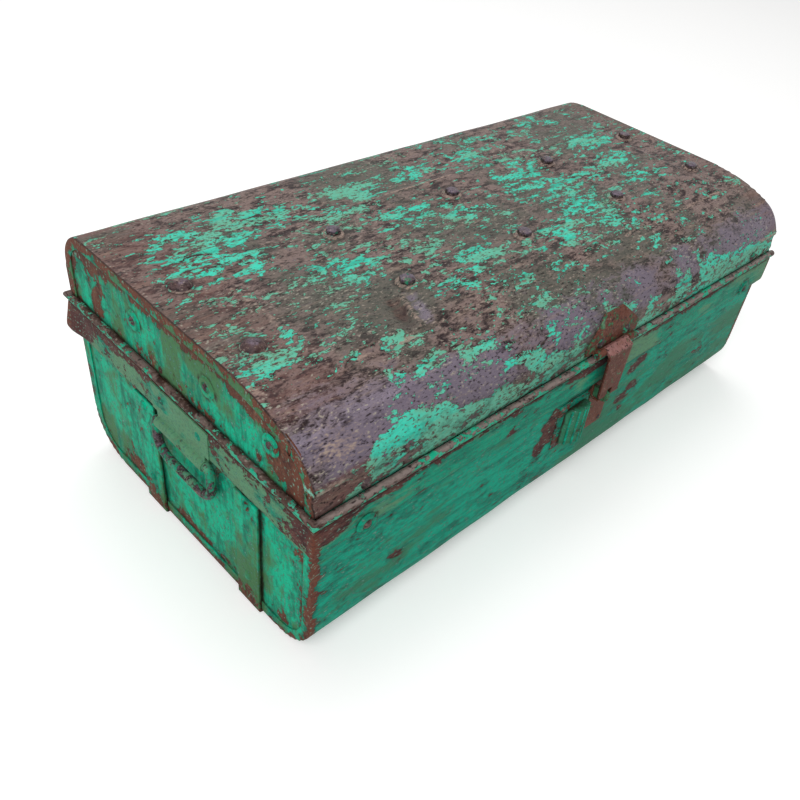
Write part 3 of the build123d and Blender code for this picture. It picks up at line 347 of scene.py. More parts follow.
# bare patches and held paint on the front skirt: x, z, reach along x, reach up, strength
skirtSpots = [
    (-106, 175, 6, 4, -9), (-150, 179, 14, 5, -5), (-20, 172, 7, 3, -8), (90, 178, 8, 10, -8), (134, 177, 5, 9, -7),
    (50, 171, 6, 8, -6), (-242, 179, 7, 6, 3), (-210, 183, 17, 8, 3.5), (-186, 180, 12, 6, 3), (-164, 171, 13, 5, 2),
    (-108, 185, 9, 6, 3), (-90, 180, 10, 7, 3), (-61, 187, 9, 6, 3.5), (-276, 171, 12, 2, 3), (6, 186, 5, 6, 2),
]


# Corners of the lid's cross-section, drawn inside the outer face by the inset
def lidCorners(inset, foot):
    s = lidSizes
    half = s["halfDepth"] - inset
    top = s["top"] - inset
    shoulder, crown, rear = s["shoulder"] - inset, s["crown"] - inset, s["rear"] - inset
    turn = math.radians(s["crownTurn"])
    shoulderCut = shoulder * math.tan((math.pi / 2 - turn) / 2)
    crownCut = crown * math.tan(turn / 2)
    low = top - crown * (1 - math.cos(turn)) - shoulder * math.cos(turn)
    flatFrom = -half + shoulder * (1 - math.sin(turn)) + crown * math.sin(turn)
    return [(-half, foot, 0, 0), (-half, low + shoulderCut, shoulderCut, 12), (flatFrom - crownCut, top, crownCut, 9),
            (half, top, rear, 12), (half, foot, 0, 0)]


shoulderFrom = -100    # y where the front shoulder and skirt begin
topFrom = 195          # z where the top begins


# Slow unevenness of hand-beaten sheet
def waver(co, size, reach):
    return size * noise.noise(co / reach)


def spotAt(u, v, spots):
    return sum(well * math.exp(-((u - x) / wide) ** 2 - ((v - y) / deep) ** 2) for x, y, wide, deep, well in spots)


# Place beside the wrinkle's ridge: across it (left is below 0) and how near its middle, 1 to 0
def byWrinkle(co):
    w = wrinkle
    start, end = Vector((*w["start"], 0)), Vector((*w["end"], 0))
    along = (end - start).normalized()
    here = Vector((co.x, co.y, 0)) - start
    run = here.dot(along)
    length = (end - start).length
    near = smoothStep(-6, 6, run) * smoothStep(length + 12, length - 8, run) if co.z > 180 else 0
    return here.cross(along).z * -1, near


# The wrinkle's left slope, where rust and painted shade lie, from 0 to 1
def leftOfWrinkle(co):
    across, near = byWrinkle(co)
    return near * smoothStep(0, -4, across) * smoothStep(-18, -10, across)


# Its right slope, rubbed glossy and lightened by a painted highlight
def rightOfWrinkle(co):
    across, near = byWrinkle(co)
    return near * smoothStep(1, 4, across) * smoothStep(16, 9, across)


# Paths on the lid's top: a painted highlight along the panel's pressed border, lines worn bright and scratches
topLines = [
    # x and y of both ends, half width, strength
    (-240, 14, -237, -50, 3, 0.45), (-216, -95, -202, -96.4, 0.9, 1.4), (-190.8, -95.6, -168, -98.3, 0.9, 1.5),
    (-150, -96, 60, -96, 1.4, 0.6), (80, -96, 240, -95, 1.6, 0.8), (-55, 59, 21, 57.4, 1.2, 1.0),
    (-288, -83, -286, -88, 3, 0.7),
]


def lineAt(co, lines):
    total = 0
    for x0, y0, x1, y1, wide, strength in lines:
        start, path = Vector((x0, y0)), Vector((x1 - x0, y1 - y0))
        here = Vector((co.x, co.y)) - start
        run = min(1, max(0, here.dot(path) / path.length_squared))
        total = max(total, strength * math.exp(-((here - path * run).length / wide) ** 2))
    return total


# How far the lid's top has moved from its drawn shape, up or down
def topLift(co):
    p = panelSizes
    into = min(p["end"] - abs(co.x), p["rear"] - co.y, co.y - p["front"])
    lift = 0
    if co.z > topFrom:
        lift = p["raise"] * smoothStep(0, p["slope"], into) \
            + p["ridge"] * math.exp(-((into - p["slope"] * 0.5) / 3.5) ** 2)
    onTop = smoothStep(166, 185, co.z)
    lift -= spotAt(co.x, co.y, lidKnocks) * onTop
    across, near = byWrinkle(co)
    if near > 0:
        w = wrinkle
        if across < 0:
            fall = smoothStep(0, -6, across) * smoothStep(-w["reachLeft"] - 4, -7, across) * w["left"]
        else:
            fall = smoothStep(0, 5, across) * smoothStep(w["reachRight"], 5, across) * w["right"]
        lift -= fall * near * onTop
    return lift + waver(co, lidSizes["waver"], 46) * onTop * smoothStep(0, 24, lidSizes["halfLength"] - abs(co.x))


# Pressed creases at the front corners: proud above the crease, sunk below it
def creasePush(co):
    if co.y > shoulderFrom:
        return 0
    fade = smoothStep(-258, -274, co.x) + 0.5 * smoothStep(238, 262, co.x)
    proud = 1.3 * math.exp(-((co.z - 173.5) / 4) ** 2)
    sunk = 2.2 * smoothStep(171.5, 169.5, co.z) * smoothStep(157.5, 162, co.z)
    return fade * (sunk - proud)


def keptOnLid(co):
    if co.y < shoulderFrom:
        edge = 179 + waver(co, 12, 40)
        kept = -1.3 + 2.3 * smoothStep(edge + 5, edge - 5, co.z) + spotAt(co.x, co.z, skirtSpots)
        kept -= 3 * smoothStep(-238, -256, co.x + (175 - co.z) * 0.9)
        return kept + spotAt(co.x, co.y, lidPatches) * 2.2 * smoothStep(188, 196, co.z)
    if co.y > 120:
        return -0.6 + 2.2 * smoothStep(200, 175, co.z)
    across, near = byWrinkle(co)
    bare = 2.5 * near * smoothStep(22, 14, abs(across))
    return min(0.95, -0.85 + 1.9 * spotAt(co.x, co.y, lidPatches)) - bare


# Writes wear on the vertices for the materials to read, each kind from its own rule for a place
def setWear(bm, wear):
    for name, values in wear.items():
        layer = bm.verts.layers.float.new(name)
        for vert in bm.verts:
            vert[layer] = values(vert.co)


# The same for a folded-in edge: the rules take the share of the way in from the fold
def setOnFold(bm, halfLength, wear):
    foldedIn = bm.verts.layers.float["foldedIn"]
    for name, values in wear.items():
        layer = bm.verts.layers.float[name]
        for vert in bm.verts:
            if abs(vert.co.x) > halfLength - 0.4:
                vert[layer] = values(vert[foldedIn])


def allOver(value):
    return lambda co: value


def cutAcross(bm, axis, places):
    for place in places:
        point, normal = [0, 0, 0], [0, 0, 0]
        point[axis], normal[axis] = place, 1
        bmesh.ops.bisect_plane(bm, geom=bm.verts[:] + bm.edges[:] + bm.faces[:], plane_co=point, plane_no=normal)


# Painted shade in a dark ring round each bolt's washer
def boltRing(co):
    near = min((Vector((x, y)) - Vector((co.x, co.y))).length for x in boltSizes["xs"] for y in boltSizes["ys"])
    return 0.6 * math.exp(-((near - 9.6) / 1.8) ** 2) * (co.z > 200)


# The crease at a front corner gets a painted highlight on its crest
def creaseLight(co):
    if co.y > -130:
        return 0
    return 1.2 * math.exp(-((co.z - 172.5) / 1.6) ** 2) * (smoothStep(-258, -272, co.x) + smoothStep(245, 262, co.x))


boltSizes = {"xs": (-264.6, -134.8, -5.0, 124.8, 254.6), "ys": (-52.35, 29.9), "headRadius": 6.0, "headHeight": 4.2,
        "headSides": 6, "washerRadius": 8.8, "washerHeight": 1.2, "shank": 2.5, "turns": 22}


def makeLidSkin():
    s, p = lidSizes, panelSizes
    bm = bmesh.new()
    sheetFromWire(bm, lidCorners(0, s["foot"]), s["halfLength"], s["grid"])
    cutAcross(bm, 1, (p["front"] + 3, p["front"] + 6, p["front"] + 9, p["rear"] - 3, p["rear"] - 6, p["rear"] - 9))
    cutAcross(bm, 2, (169.5, 171.5, 173.5))
    faceOutwards(bm, Vector((0, 0, 150)))
    foldEnds(bm, s["halfLength"], s["seamWidth"], s["seamSoft"], s["foot"])
    for vert in bm.verts:
        co = vert.co.copy()
        if abs(co.x) < s["halfLength"] + 0.5:
            vert.co.z += topLift(co)
        if co.y < -s["halfDepth"] + 6:
            vert.co.y += creasePush(co)
        if co.z < 190 and abs(co.y) > 140:
            vert.co.y += math.copysign(1, co.y) * waver(co, 0.4, 40) * smoothStep(153, 160, co.z) \
                * smoothStep(0, 24, s["halfLength"] - abs(co.x))
    bm.normal_update()
    # a painted sheen lies on the rubbed front shoulder and the wrinkle's right slope; painted highlights on the panel's
    # border, the corner creases and the wrinkle's crest
    # painted shade along the end folds, round the bolts and on the wrinkle's left slope; the lower front skirt is
    # darker towards the left
    setWear(bm, {
        "paintKept": keptOnLid,
        "rubbedAndSheen": lambda co: (0.9 + 0.9 * noise.noise(co / 26)) * smoothStep(-112, -134, co.y)
        * smoothStep(168, 178, co.z) + 0.5 * spotAt(co.x, co.y, shoulderRubsAndSheen) + 0.75 * rightOfWrinkle(co),
        "rusted": lambda co: 0.45 * smoothStep(118, 134, co.y) + 0.5 * smoothStep(-235, -250, co.x)
        * smoothStep(184, 174, co.z) + 0.4 * smoothStep(-205, -255, co.x) * smoothStep(-128, -104, co.y)
        + 0.35 * smoothStep(245, 275, co.x) + 0.4 * leftOfWrinkle(co),
        "oiled": lambda co: 0.4 * smoothStep(182, 166, co.z) + 0.25 * smoothStep(150, -100, co.x),
        "paleWearAndHighlight": lambda co: lineAt(co, topLines) * (co.z > 190) + creaseLight(co)
        + 0.9 * byWrinkle(co)[1] * math.exp(-(byWrinkle(co)[0] / 1.5) ** 2)
        + spotAt(co.x, co.z, [(-266, 189, 18, 8, 0.5)]) * (co.y < shoulderFrom),
        "grimeAndShade": lambda co: 0.8 * smoothStep(s["halfLength"] - 1.2, s["halfLength"] - 0.4, abs(co.x))
        + 0.28 * smoothStep(186, 172, co.z) * smoothStep(40, -50, co.x) * (co.y < 0) + boltRing(co)
        + 0.45 * leftOfWrinkle(co)})
    # on the folds: painted shade along the fold, fainter along the flange's inner edge
    setOnFold(bm, s["halfLength"], {
        "paintKept": lambda share: -3.4 + 2.6 * share, "rusted": allOver(0.6), "rubbedAndSheen": allOver(0),
        "grimeAndShade": lambda share: 0.8 * smoothStep(0.2, 0, share) + 0.25 * smoothStep(0.8, 1, share)})
    giveThickness(makePiece("lidSkin", bm, [lidPaint, insideIron, endPaint], "lid",
            ["lid_wrap", "left_lid_seam", "right_lid_seam"], flange=s["halfLength"]))


# Ends of the lid and the case: a sheet behind the turned-in seams, slightly uneven
endGrid = 3.0
# edges of the skid straps and the handle plate on the case's ends, where painted shade lies along them
strapEdges = (-89.9, -63.9, 37.2, 63.2)
lidCups = ((52, 180.5), (-37.1, 180.5), (-104, 180.5))


# Painted shade in rings round the cups and washers
def cupRing(u, v, places):
    near = min(math.hypot(u - x, v - y) for x, y in places)
    return 0.75 * math.exp(-((near - 9) / 1.3) ** 2) + 0.5 * math.exp(-((near - 4.6) / 1.0) ** 2)


# Painted shade on an end sheet: along the seam flange's inner edge; on the lid, darker just above the roll and round
# the cups; on the case, along the strap edges and behind the band
def endShade(co, body, half, low, high):
    border = min(half - abs(co.y), high - co.z, co.z - low if body == "body" else 99)
    shade = 0.5 * math.exp(-((border - 9.5) / 1.8) ** 2)
    if body == "lid":
        return shade + 0.8 * smoothStep(157, 152, co.z) + cupRing(co.y, co.z, lidCups)
    nearest = min(abs(co.y - edge) for edge in strapEdges)
    return max(shade, 0.9 * math.exp(-(nearest / 1.6) ** 2), 0.6 * smoothStep(109, 114, co.z))


def makeEndSheet(name, side, x, corners, body, node, material, spots, oiled):
    bm = bmesh.new()
    profileWire(bm, side * x, corners, 400)
    ends = [v for v in bm.verts if len(v.link_edges) == 1]
    bm.edges.new(ends)
    bmesh.ops.contextual_create(bm, geom=bm.edges[:])
    low = min(v.co.z for v in bm.verts)
    high = max(v.co.z for v in bm.verts)
    half = max(v.co.y for v in bm.verts)
    cutAcross(bm, 1, [-half + index * endGrid for index in range(1, round(2 * half / endGrid))])
    cutAcross(bm, 2, [low + index * endGrid for index in range(1, round((high - low) / endGrid))])
    faceOutwards(bm, Vector((0, 0, 100)))
    for vert in bm.verts:
        co = vert.co.copy()
        inside = min(half - abs(co.y), high - co.z, co.z - low)
        vert.co.x += side * waver(co, 0.6, 38) * smoothStep(6, 26, inside)
        if co.y < -half + 6 and body == "lid":
            vert.co.y += creasePush(co)
    bm.normal_update()
    setWear(bm, {
        "paintKept": lambda co: (0 if body == "lid" else 0.2) + spotAt(co.y * -side, co.z, spots)
        - 2.4 * smoothStep(20, 10, min(half - abs(co.y), high - co.z)) * (body == "lid")
        - 2.4 * smoothStep(128, 137, -co.y) * (body == "body"),
        "rusted": lambda co: 0.3 + 0.3 * smoothStep(-120, -134, co.y),
        "oiled": oiled, "grimeAndShade": lambda co: endShade(co, body, half, low, high)})
    giveThickness(makePiece(name, bm, [material, insideIron], body, [node]))


# Rolled rim along the foot of the lid, mitred at its corners; the front roll runs out open at its right end
rollSizes = {"radius": 3.1, "height": 149.5, "halfDepth": 148.9, "halfLength": 291.9, "openEnd": 295.0, "gap": 3.0,
        "endsFrom": 288, "sides": 20, "grid": 6.0}


def makeRoll(name, start, end, inwards, node, leanStart=1, leanEnd=1):
    r = rollSizes
    along = (end - start).normalized()
    length = (end - start).length
    bm = bmesh.new()
    turn = along.to_track_quat("Z", "Y").to_matrix().to_4x4()
    bmesh.ops.create_circle(bm, segments=r["sides"], radius=r["radius"], matrix=Matrix.Translation(start) @ turn)
    grown = bmesh.ops.extrude_edge_only(bm, edges=bm.edges[:])["geom"]
    bmesh.ops.translate(bm, vec=along * length, verts=vertsOf(grown))
    longEdges = [e for e in bm.edges if e.calc_length() > length / 2]
    bmesh.ops.subdivide_edges(bm, edges=longEdges, cuts=round(length / r["grid"]), use_grid_fill=True)
    middle = (start + end) / 2
    for vert in bm.verts:
        # an end leans 45 degrees where it meets the next roll
        run = (vert.co - middle).dot(along) / (length / 2)
        lean = leanEnd if run > 0 else leanStart
        vert.co -= along * (vert.co - start).dot(inwards) * run * lean
        vert.co.z += waver(vert.co, 0.35, 34)
        vert.co -= inwards * waver(vert.co + Vector((7, 3, 1)), 0.3, 28)
    bmesh.ops.recalc_face_normals(bm, faces=bm.faces)
    mid = r["height"]
    # the crest gets a painted highlight, weaker at the ends; the underside gets rust and painted shade
    setWear(bm, {
        "rusted": lambda co: smoothStep(mid - 0.1, mid - 1.9, co.z) + 0.35 * (abs(co.x) > r["endsFrom"]),
        "rubbedAndSheen": lambda co: smoothStep(mid + 0.1, mid + 2.1, co.z) * (0.4 if abs(co.x) > r["endsFrom"] else 1),
        "paintKept": lambda co: 0.2 - 0.7 * smoothStep(mid + 0.7, mid + 2.3, co.z),
        "grimeAndShade": lambda co: 0.7 * smoothStep(mid - 0.5, mid - 2.5, co.z)})
    piece = makePiece(name, bm, [beadPaint, insideIron], "lid", [node])
    if not leanEnd:
        giveThickness(piece)


# worn places on the lid's ends: across towards the front on the left end, height, reaches, strength
lidEndSpots = [
    (98, 180, 9, 9, -2.6), (108, 163, 8, 8, -2.6), (64, 174, 9, 5, -2.0), (-132, 150, 9, 14, -5),
    (0, 156, 90, 4, -1.6), (-121, 180, 12, 12, -4), (110, 198, 18, 8, -3), (-84, 193, 26, 7, -3),
    (-108, 168, 14, 9, -2.4), (-20, 203, 50, 4, -2), (-128, 160, 8, 14, -3), (-70, 170, 12, 5, -1.5),
    (-60, 190, 30, 10, 1.2), (40, 178, 30, 12, 1.2), (122, 160, 8, 6, 2.0), (-90, 168, 24, 14, 1.2),
]
caseEndSpots = [
    (5, 12, 24, 6, -5), (-40, 14, 30, 4, -2), (78, 16, 22, 9, -4), (-110, 60, 20, 30, 0.8), (0, 70, 40, 22, 2.0),
    (60, 112, 34, 4, -1.6), (-60, 112, 26, 4, -1.6), (-112, 20, 14, 8, -1.5),
    (112, 78, 16, 26, 1.6), (-70, 70, 30, 26, 1.0), (128, 30, 12, 16, -1.2), (-122, 104, 14, 10, -1.5),
]
makeLidSkin()
for side, word in ((-1, "left"), (1, "right")):
    makeEndSheet(word + "LidEnd", side, lidSizes["endSheet"], lidCorners(1.1, 150.0), "lid",
            word + "_lid_end", endPaint, lidEndSpots, lambda co: 0.15 + 0.2 * smoothStep(-60, -130, co.y))
rollX, rollY, rollZ = rollSizes["halfLength"], rollSizes["halfDepth"], rollSizes["height"]
frontLeft, rearLeft, rearRight = (Vector((x, y, rollZ)) for x, y in ((-rollX, -rollY), (-rollX, rollY), (rollX, rollY)))
makeRoll("frontRoll", frontLeft, Vector((rollSizes["openEnd"], -rollY, rollZ)), Vector((0, 1, 0)), "lid_wrap",
        leanEnd=0)
makeRoll("leftRoll", frontLeft, rearLeft, Vector((1, 0, 0)), "left_lid_end")
makeRoll("rearRoll", rearLeft, rearRight, Vector((0, -1, 0)), "lid_wrap")
makeRoll("rightRoll", Vector((rollX, -rollY + rollSizes["gap"], rollZ)), rearRight, Vector((-1, 0, 0)),
        "right_lid_end", leanStart=0)
print("lid made")


# The case: front, bottom and rear in one sheet, folded over its ends, with a lip inside the lid
caseSizes = {"halfDepth": 145.1, "floor": 2.5, "round": 36.0, "bandTop": 146.1, "lipTop": 157.5,
        "halfLength": 289.1, "lipHalfLength": 288.1, "grid": 4.0, "seamWidth": 9.0, "seamSoft": 1.4}
# bare maroon patches and dark chips on the front: x, z, reach along x, reach up, strength
frontSpots = [
    (-41, 101, 5, 8, -9), (-44, 86, 7, 9, -9), (-53, 71, 6, 8, -9), (-52, 95, 4, 4, -6), (85, 105, 8, 5, -9),
    (73, 98, 8, 4, -9), (82, 77, 7, 4, -9), (67, 68, 8, 4, -9), (70.6, 54, 4, 2, -6), (-212, 60, 9, 4, -3),
    (-206, 52, 5, 3, -4), (-230, 96, 5, 2, -4), (-150, 100, 6, 2, -3), (210, 60, 10, 4, -3),
]


def caseCorners(inset, top):
    c = caseSizes
    half = c["halfDepth"] - inset
    low = c["floor"] + inset
    cut = c["round"] - inset
    return [(-half, top, 0, 0), (-half, low, cut, 9), (half, low, cut, 9), (half, top, 0, 0)]


def keptOnCase(co):
    # the corners and the lower edge are worn through
    kept = 0.35 - 2.6 * smoothStep(281, 287, abs(co.x)) - 0.9 * smoothStep(14, 3, co.z)
    return kept + (spotAt(co.x, co.z, frontSpots) if co.y < 0 else 0)


# Painted shade round the lock plate and the staple plate
def lockShade(co):
    if co.y > 0:
        return 0
    shade = 0
    for left, right, low, high in ((-36, 5, 61, 109), (6, 36, 60, 113)):
        away = max(left - co.x, co.x - right, low - co.z, co.z - high)
        shade = max(shade, 0.9 * math.exp(-(away / 1.8) ** 2))
    return shade


def makeCaseSkin():
    c = caseSizes
    bm = bmesh.new()
    sheetFromWire(bm, caseCorners(0, c["bandTop"]), c["halfLength"], c["grid"])
    faceOutwards(bm, Vector((0, 0, 90)))
    foldEnds(bm, c["halfLength"], c["seamWidth"], c["seamSoft"], c["floor"])
    for vert in bm.verts:
        co = vert.co.copy()
        if abs(co.y) > 138:
            free = smoothStep(2, 26, c["halfLength"] - abs(co.x)) * smoothStep(112, 98, co.z)
            vert.co.y += math.copysign(1, co.y) * waver(co, 0.7, 48) * free
    # the lip that stands up inside the lid
    rim = [e for e in bm.edges if all(abs(v.co.z - c["bandTop"]) < touch and abs(v.co.x) < c["lipHalfLength"] and
            abs(abs(v.co.y) - c["halfDepth"]) < touch for v in e.verts)]
    grown = bmesh.ops.extrude_edge_only(bm, edges=rim)["geom"]
    bmesh.ops.translate(bm, vec=(0, 0, c["lipTop"] - c["bandTop"]), verts=vertsOf(grown))
    bm.normal_update()
    # painted shade from just below the band's foot up behind the band and round the lock and staple plates; darker
    # along the bottom edge; faint painted shade along the flange's inner edge
    setWear(bm, {
        "paintKept": keptOnCase, "rusted": lambda co: 0.75 * smoothStep(278, 288, abs(co.x)),
        "oiled": lambda co: 0.3 * smoothStep(30, 8, co.z) + 0.55 * smoothStep(-50, 20, co.x)
        * smoothStep(105, 80, co.z) * (co.y < 0),
        "grimeAndShade": lambda co: max(0.45 * smoothStep(110, 114, co.z), lockShade(co), 0.5 * smoothStep(8, 3, co.z))})
    setOnFold(bm, c["halfLength"], {"paintKept": lambda share: -2.4 + 2.8 * share, "rusted": allOver(0.5),
            "grimeAndShade": lambda share: 0.15 * smoothStep(0.8, 1, share)})
    giveThickness(makePiece("caseSkin", bm, [casePaint, insideIron, endPaint], "body",
            ["case_wrap", "left_case_seam", "right_case_seam"], flange=c["halfLength"]))


# Band round the top of the case: top flange, wall and a foot that slants in
bandSizes = {"foot": 114.1, "kink": 120.6, "top": 146.1, "outerX": 293.3, "outerY": 150.3,
        "footX": 289.9, "footY": 145.9, "innerX": 289.1, "innerY": 145.1, "soft": 1.6, "grid": 3.5}
# where the band stands out or is knocked in: x, y, z, reach, push outwards
bandKnocks = [(-293, 150, 121, 16, 3.2), (-293, 128, 128, 12, -1.2), (-250, -150, 133, 16, -0.9),
        (-262, 150, 120, 16, 1.4), (293, 150, 124, 16, 2.0), (-293, -120, 124, 18, 0.8)]
# bare places on its front (x, z) and its ends (y, z), with reaches and strength
bandSpots = [(-106, 123, 5, 2, -6), (-284, 138, 17, 9, -5), (-248, 144, 40, 3.5, -3), (-200, 121, 8, 1.5, -3),
        (-18, 141, 30, 4, -4), (-165, 143, 50, 3, -3), (160, 143, 40, 2.5, -2), (262, 122, 20, 5, -2)]
bandEndSpots = [(132, 132, 16, 14, -4), (92, 141, 20, 5, -2.5), (50, 143, 20, 4, -2), (-40, 143, 30, 4, -2),
        (-136, 134, 8, 12, -4)]


def makeBand():
    b = bandSizes
    bm = bmesh.new()
    corners = [(-1, -1), (1, -1), (1, 1), (-1, 1)]
    ring = [bm.verts.new((sx * b["footX"], sy * b["footY"], b["foot"])) for sx, sy in corners]
    edges = [bm.edges.new((ring[i], ring[(i + 1) % 4])) for i in range(4)]
    for halfX, halfY, z in ((b["outerX"], b["outerY"], b["kink"]), (b["outerX"], b["outerY"], b["top"]),
            (b["innerX"], b["innerY"], b["top"])):
        grown = bmesh.ops.extrude_edge_only(bm, edges=edges)["geom"]
        edges = [g for g in grown if isinstance(g, bmesh.types.BMEdge)]
        for vert in vertsOf(grown):
            vert.co = (math.copysign(halfX, vert.co.x), math.copysign(halfY, vert.co.y), z)
    faceOutwards(bm, Vector((0, 0, 130)))
    outer = [e for e in bm.edges if len(e.link_faces) == 2 and e.calc_face_angle(0) > 0.3
            and all(abs(v.co.y) > b["footY"] - 0.1 or abs(v.co.x) > b["footX"] - 0.1 for v in e.verts)]
    bmesh.ops.bevel(bm, geom=outer, offset=b["soft"], segments=3, affect="EDGES", **bevelRest)
    for axis, half in ((0, b["outerX"]), (1, b["outerY"])):
        cutAcross(bm, axis, [-half + index * b["grid"] for index in range(1, round(2 * half / b["grid"]))])
    cutAcross(bm, 2, (123, 125.5, 128, 131, 134, 137, 140))
    for vert in bm.verts:
        co = vert.co.copy()
        free = smoothStep(113, 118, co.z) * smoothStep(146, 140, co.z)
        push = abs(waver(co, 0.8, 44)) * free
        for x, y, z, reach, out in bandKnocks:
            push += out * free * math.exp(-((co - Vector((x, y, z))).length / reach) ** 2)
        if abs(co.y) > 148:
            vert.co.y += math.copysign(1, co.y) * push
        if abs(co.x) > 291:
            vert.co.x += math.copysign(1, co.x) * push
    bm.normal_update()
    # painted shade under the bead and at the slanted foot, a dark line along the kink, and painted shade in a ring
    # round each cup
    setWear(bm, {
        "paintKept": lambda co: 0.4 - 0.5 * smoothStep(119, 115, co.z) - 1.7 * smoothStep(139, 146, co.z)
        - 0.9 * (abs(co.x) > 288) - 2.4 * smoothStep(286, 292, abs(co.x)) * smoothStep(143, 149, abs(co.y))
        + spotAt(co.x, co.z, bandSpots) * (co.y < -140) + spotAt(co.y, co.z, bandEndSpots) * (abs(co.x) > 284),
        "rusted": lambda co: 0.3 * smoothStep(118, 114, co.z)
        + 0.6 * smoothStep(284, 292, abs(co.x)) * smoothStep(142, 149, abs(co.y)),
        "oiled": lambda co: 0.5 * (abs(co.x) > 288) + 0.7 * math.exp(-((co.x - 55) / 45) ** 2) * (co.y < 0),
        "grimeAndShade": lambda co: max(0.5 * smoothStep(117, 114.5, co.z), 0.9 * smoothStep(143.5, 146, co.z),
            0.35 * math.exp(-(co.z - b["kink"]) ** 2), cupRing(abs(co.x), co.z, [(250.1, 126)]))})
    giveThickness(makePiece("rimBand", bm, [bandPaint, insideIron], "body",
            ["front_band", "rear_band", "left_band", "right_band"]))


makeCaseSkin()
makeBand()
for side, word in ((-1, "left"), (1, "right")):
    makeEndSheet(word + "CaseEnd", side, caseSizes["lipHalfLength"], caseCorners(1.1, caseSizes["lipTop"]), "body",
            word + "_end_panel", endPaint, caseEndSpots,
            lambda co: 0.2 * smoothStep(50, 15, co.z) + 0.25 * smoothStep(90, 130, co.y))
print("case made")


# Hardware: the solids' own forms with worn, rounded edges
def makeWorn(node, name, body, slot, material, soft, wear):
    bm = bmesh.new()
    bm.from_mesh(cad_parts[node].data)
    bmesh.ops.scale(bm, vec=(1 / mm, 1 / mm, 1 / mm), verts=bm.verts)
    bmesh.ops.remove_doubles(bm, verts=bm.verts, dist=touch)
    if soft:
        bmesh.ops.dissolve_limit(bm, angle_limit=math.radians(2), verts=bm.verts, edges=bm.edges)
        sharp = [e for e in bm.edges if len(e.link_faces) == 2 and e.calc_face_angle(0) > math.radians(40)]
        bmesh.ops.bevel(bm, geom=sharp, offset=soft, segments=2, affect="EDGES", clamp_overlap=True, **bevelRest)
        for axis in (0, 2):
            places = [vert.co[axis] for vert in bm.verts]
            low, high = min(places), max(places)
            step = 5 if high - low < 100 else 15
            cutAcross(bm, axis, [low + step * (index + 0.5) for index in range(int((high - low) / step))])
    setWear(bm, wear)
    makePiece(name, bm, [material], body, [node])


# the skid straps get painted shade where they lie against the end panels
strapWear = {"paintKept": lambda co: 0.5 - 2.4 * smoothStep(34, 12, co.z), "rusted": allOver(0.3),
        "oiled": lambda co: 0.1 + 0.25 * smoothStep(50, 20, co.z),
        "grimeAndShade": lambda co: 1.0 * smoothStep(291.2, 289.6, abs(co.x)) * (abs(co.x) > 287)}
bailWear = {"paintKept": lambda co: 0.1 + 1.2 * smoothStep(90, 104, co.z), "rubbedAndSheen": allOver(0.5)}
plateWear = {"oiled": allOver(0.6), "paintKept": allOver(0.8)}
hardware = [
    # node, piece, body, slot, material, how far its edges are worn round in mm, wear
    ("hasp_plate", "haspPlate", "lid", "rust_red_iron", haspIron, 0.5, {"rusted": allOver(0.5)}),
    # the hasp strap gets a painted highlight along its top and painted shade on its back, facing the case
    ("hasp_strap", "haspStrap", "hasp", "rust_red_iron", haspIron, 0.8,
     {"rubbedAndSheen": lambda co: 1.3 * smoothStep(155.0, 156.0, co.z), "rusted": allOver(0.35),
      "grimeAndShade": lambda co: 0.9 * smoothStep(-158.4, -157.4, co.y) * smoothStep(154, 150, co.z),
      "paintKept": lambda co: 1.6 * math.exp(-((co.z - 125) / 12) ** 2 - ((co.x - 10) / 5) ** 2) - 1.2}),
    ("staple_plate", "staplePlate", "body", "rust_red_iron", haspIron, 0.4,
     {"rusted": allOver(0.6), "paintKept": lambda co: 1.2 * smoothStep(-147.5, -149, co.y) - 0.8}),
    ("staple", "stapleNose", "body", "rust_red_iron", haspIron, 0.8, {"paintKept": allOver(1.5)}),
    ("lock_plate", "lockPlate", "body", "rust_red_iron", casePaint, 0.25,
     {"paintKept": allOver(-1.5), "rusted": allOver(0.3)}),
    # the lock shell gets painted shade along its edge against the case
    ("lock_shell", "lockShell", "body", "turquoise_paint", casePaint, 0.5,
     {"oiled": lambda co: 1.1 - 1.1 * smoothStep(18.9, 19.6, math.hypot(co.x + 12, co.y + 136.2)),
      "grimeAndShade": lambda co: 0.9 * smoothStep(-148, -146.5, co.y), "paintKept": allOver(0.3)}),
    ("front_skid_strap", "frontSkidStrap", "body", "turquoise_paint", endPaint, 0.7, strapWear),
    ("rear_skid_strap", "rearSkidStrap", "body", "turquoise_paint", endPaint, 0.7, strapWear),
    ("left_handle_plate", "leftHandlePlate", "body", "olive_paint", bandPaint, 0.35, plateWear),
    ("right_handle_plate", "rightHandlePlate", "body", "olive_paint", bandPaint, 0.35, plateWear),
    ("left_bail", "leftBail", "left_handle", "worn_iron", fixingIron, 0, bailWear),
    ("right_bail", "rightBail", "right_handle", "worn_iron", fixingIron, 0, bailWear),
]
for row in hardware:
    makeWorn(*row)


# Turns a profile of (radius, height) once round Z
def lathe(bm, place, profile, turns):
    verts = [bm.verts.new(place + Vector((radius, 0, height))) for radius, height in profile]
    edges = [bm.edges.new(pair) for pair in zip(verts, verts[1:])]
    bmesh.ops.spin(bm, geom=verts + edges, cent=place, axis=(0, 0, 1), angle=2 * math.pi, steps=turns,
            use_merge=True)


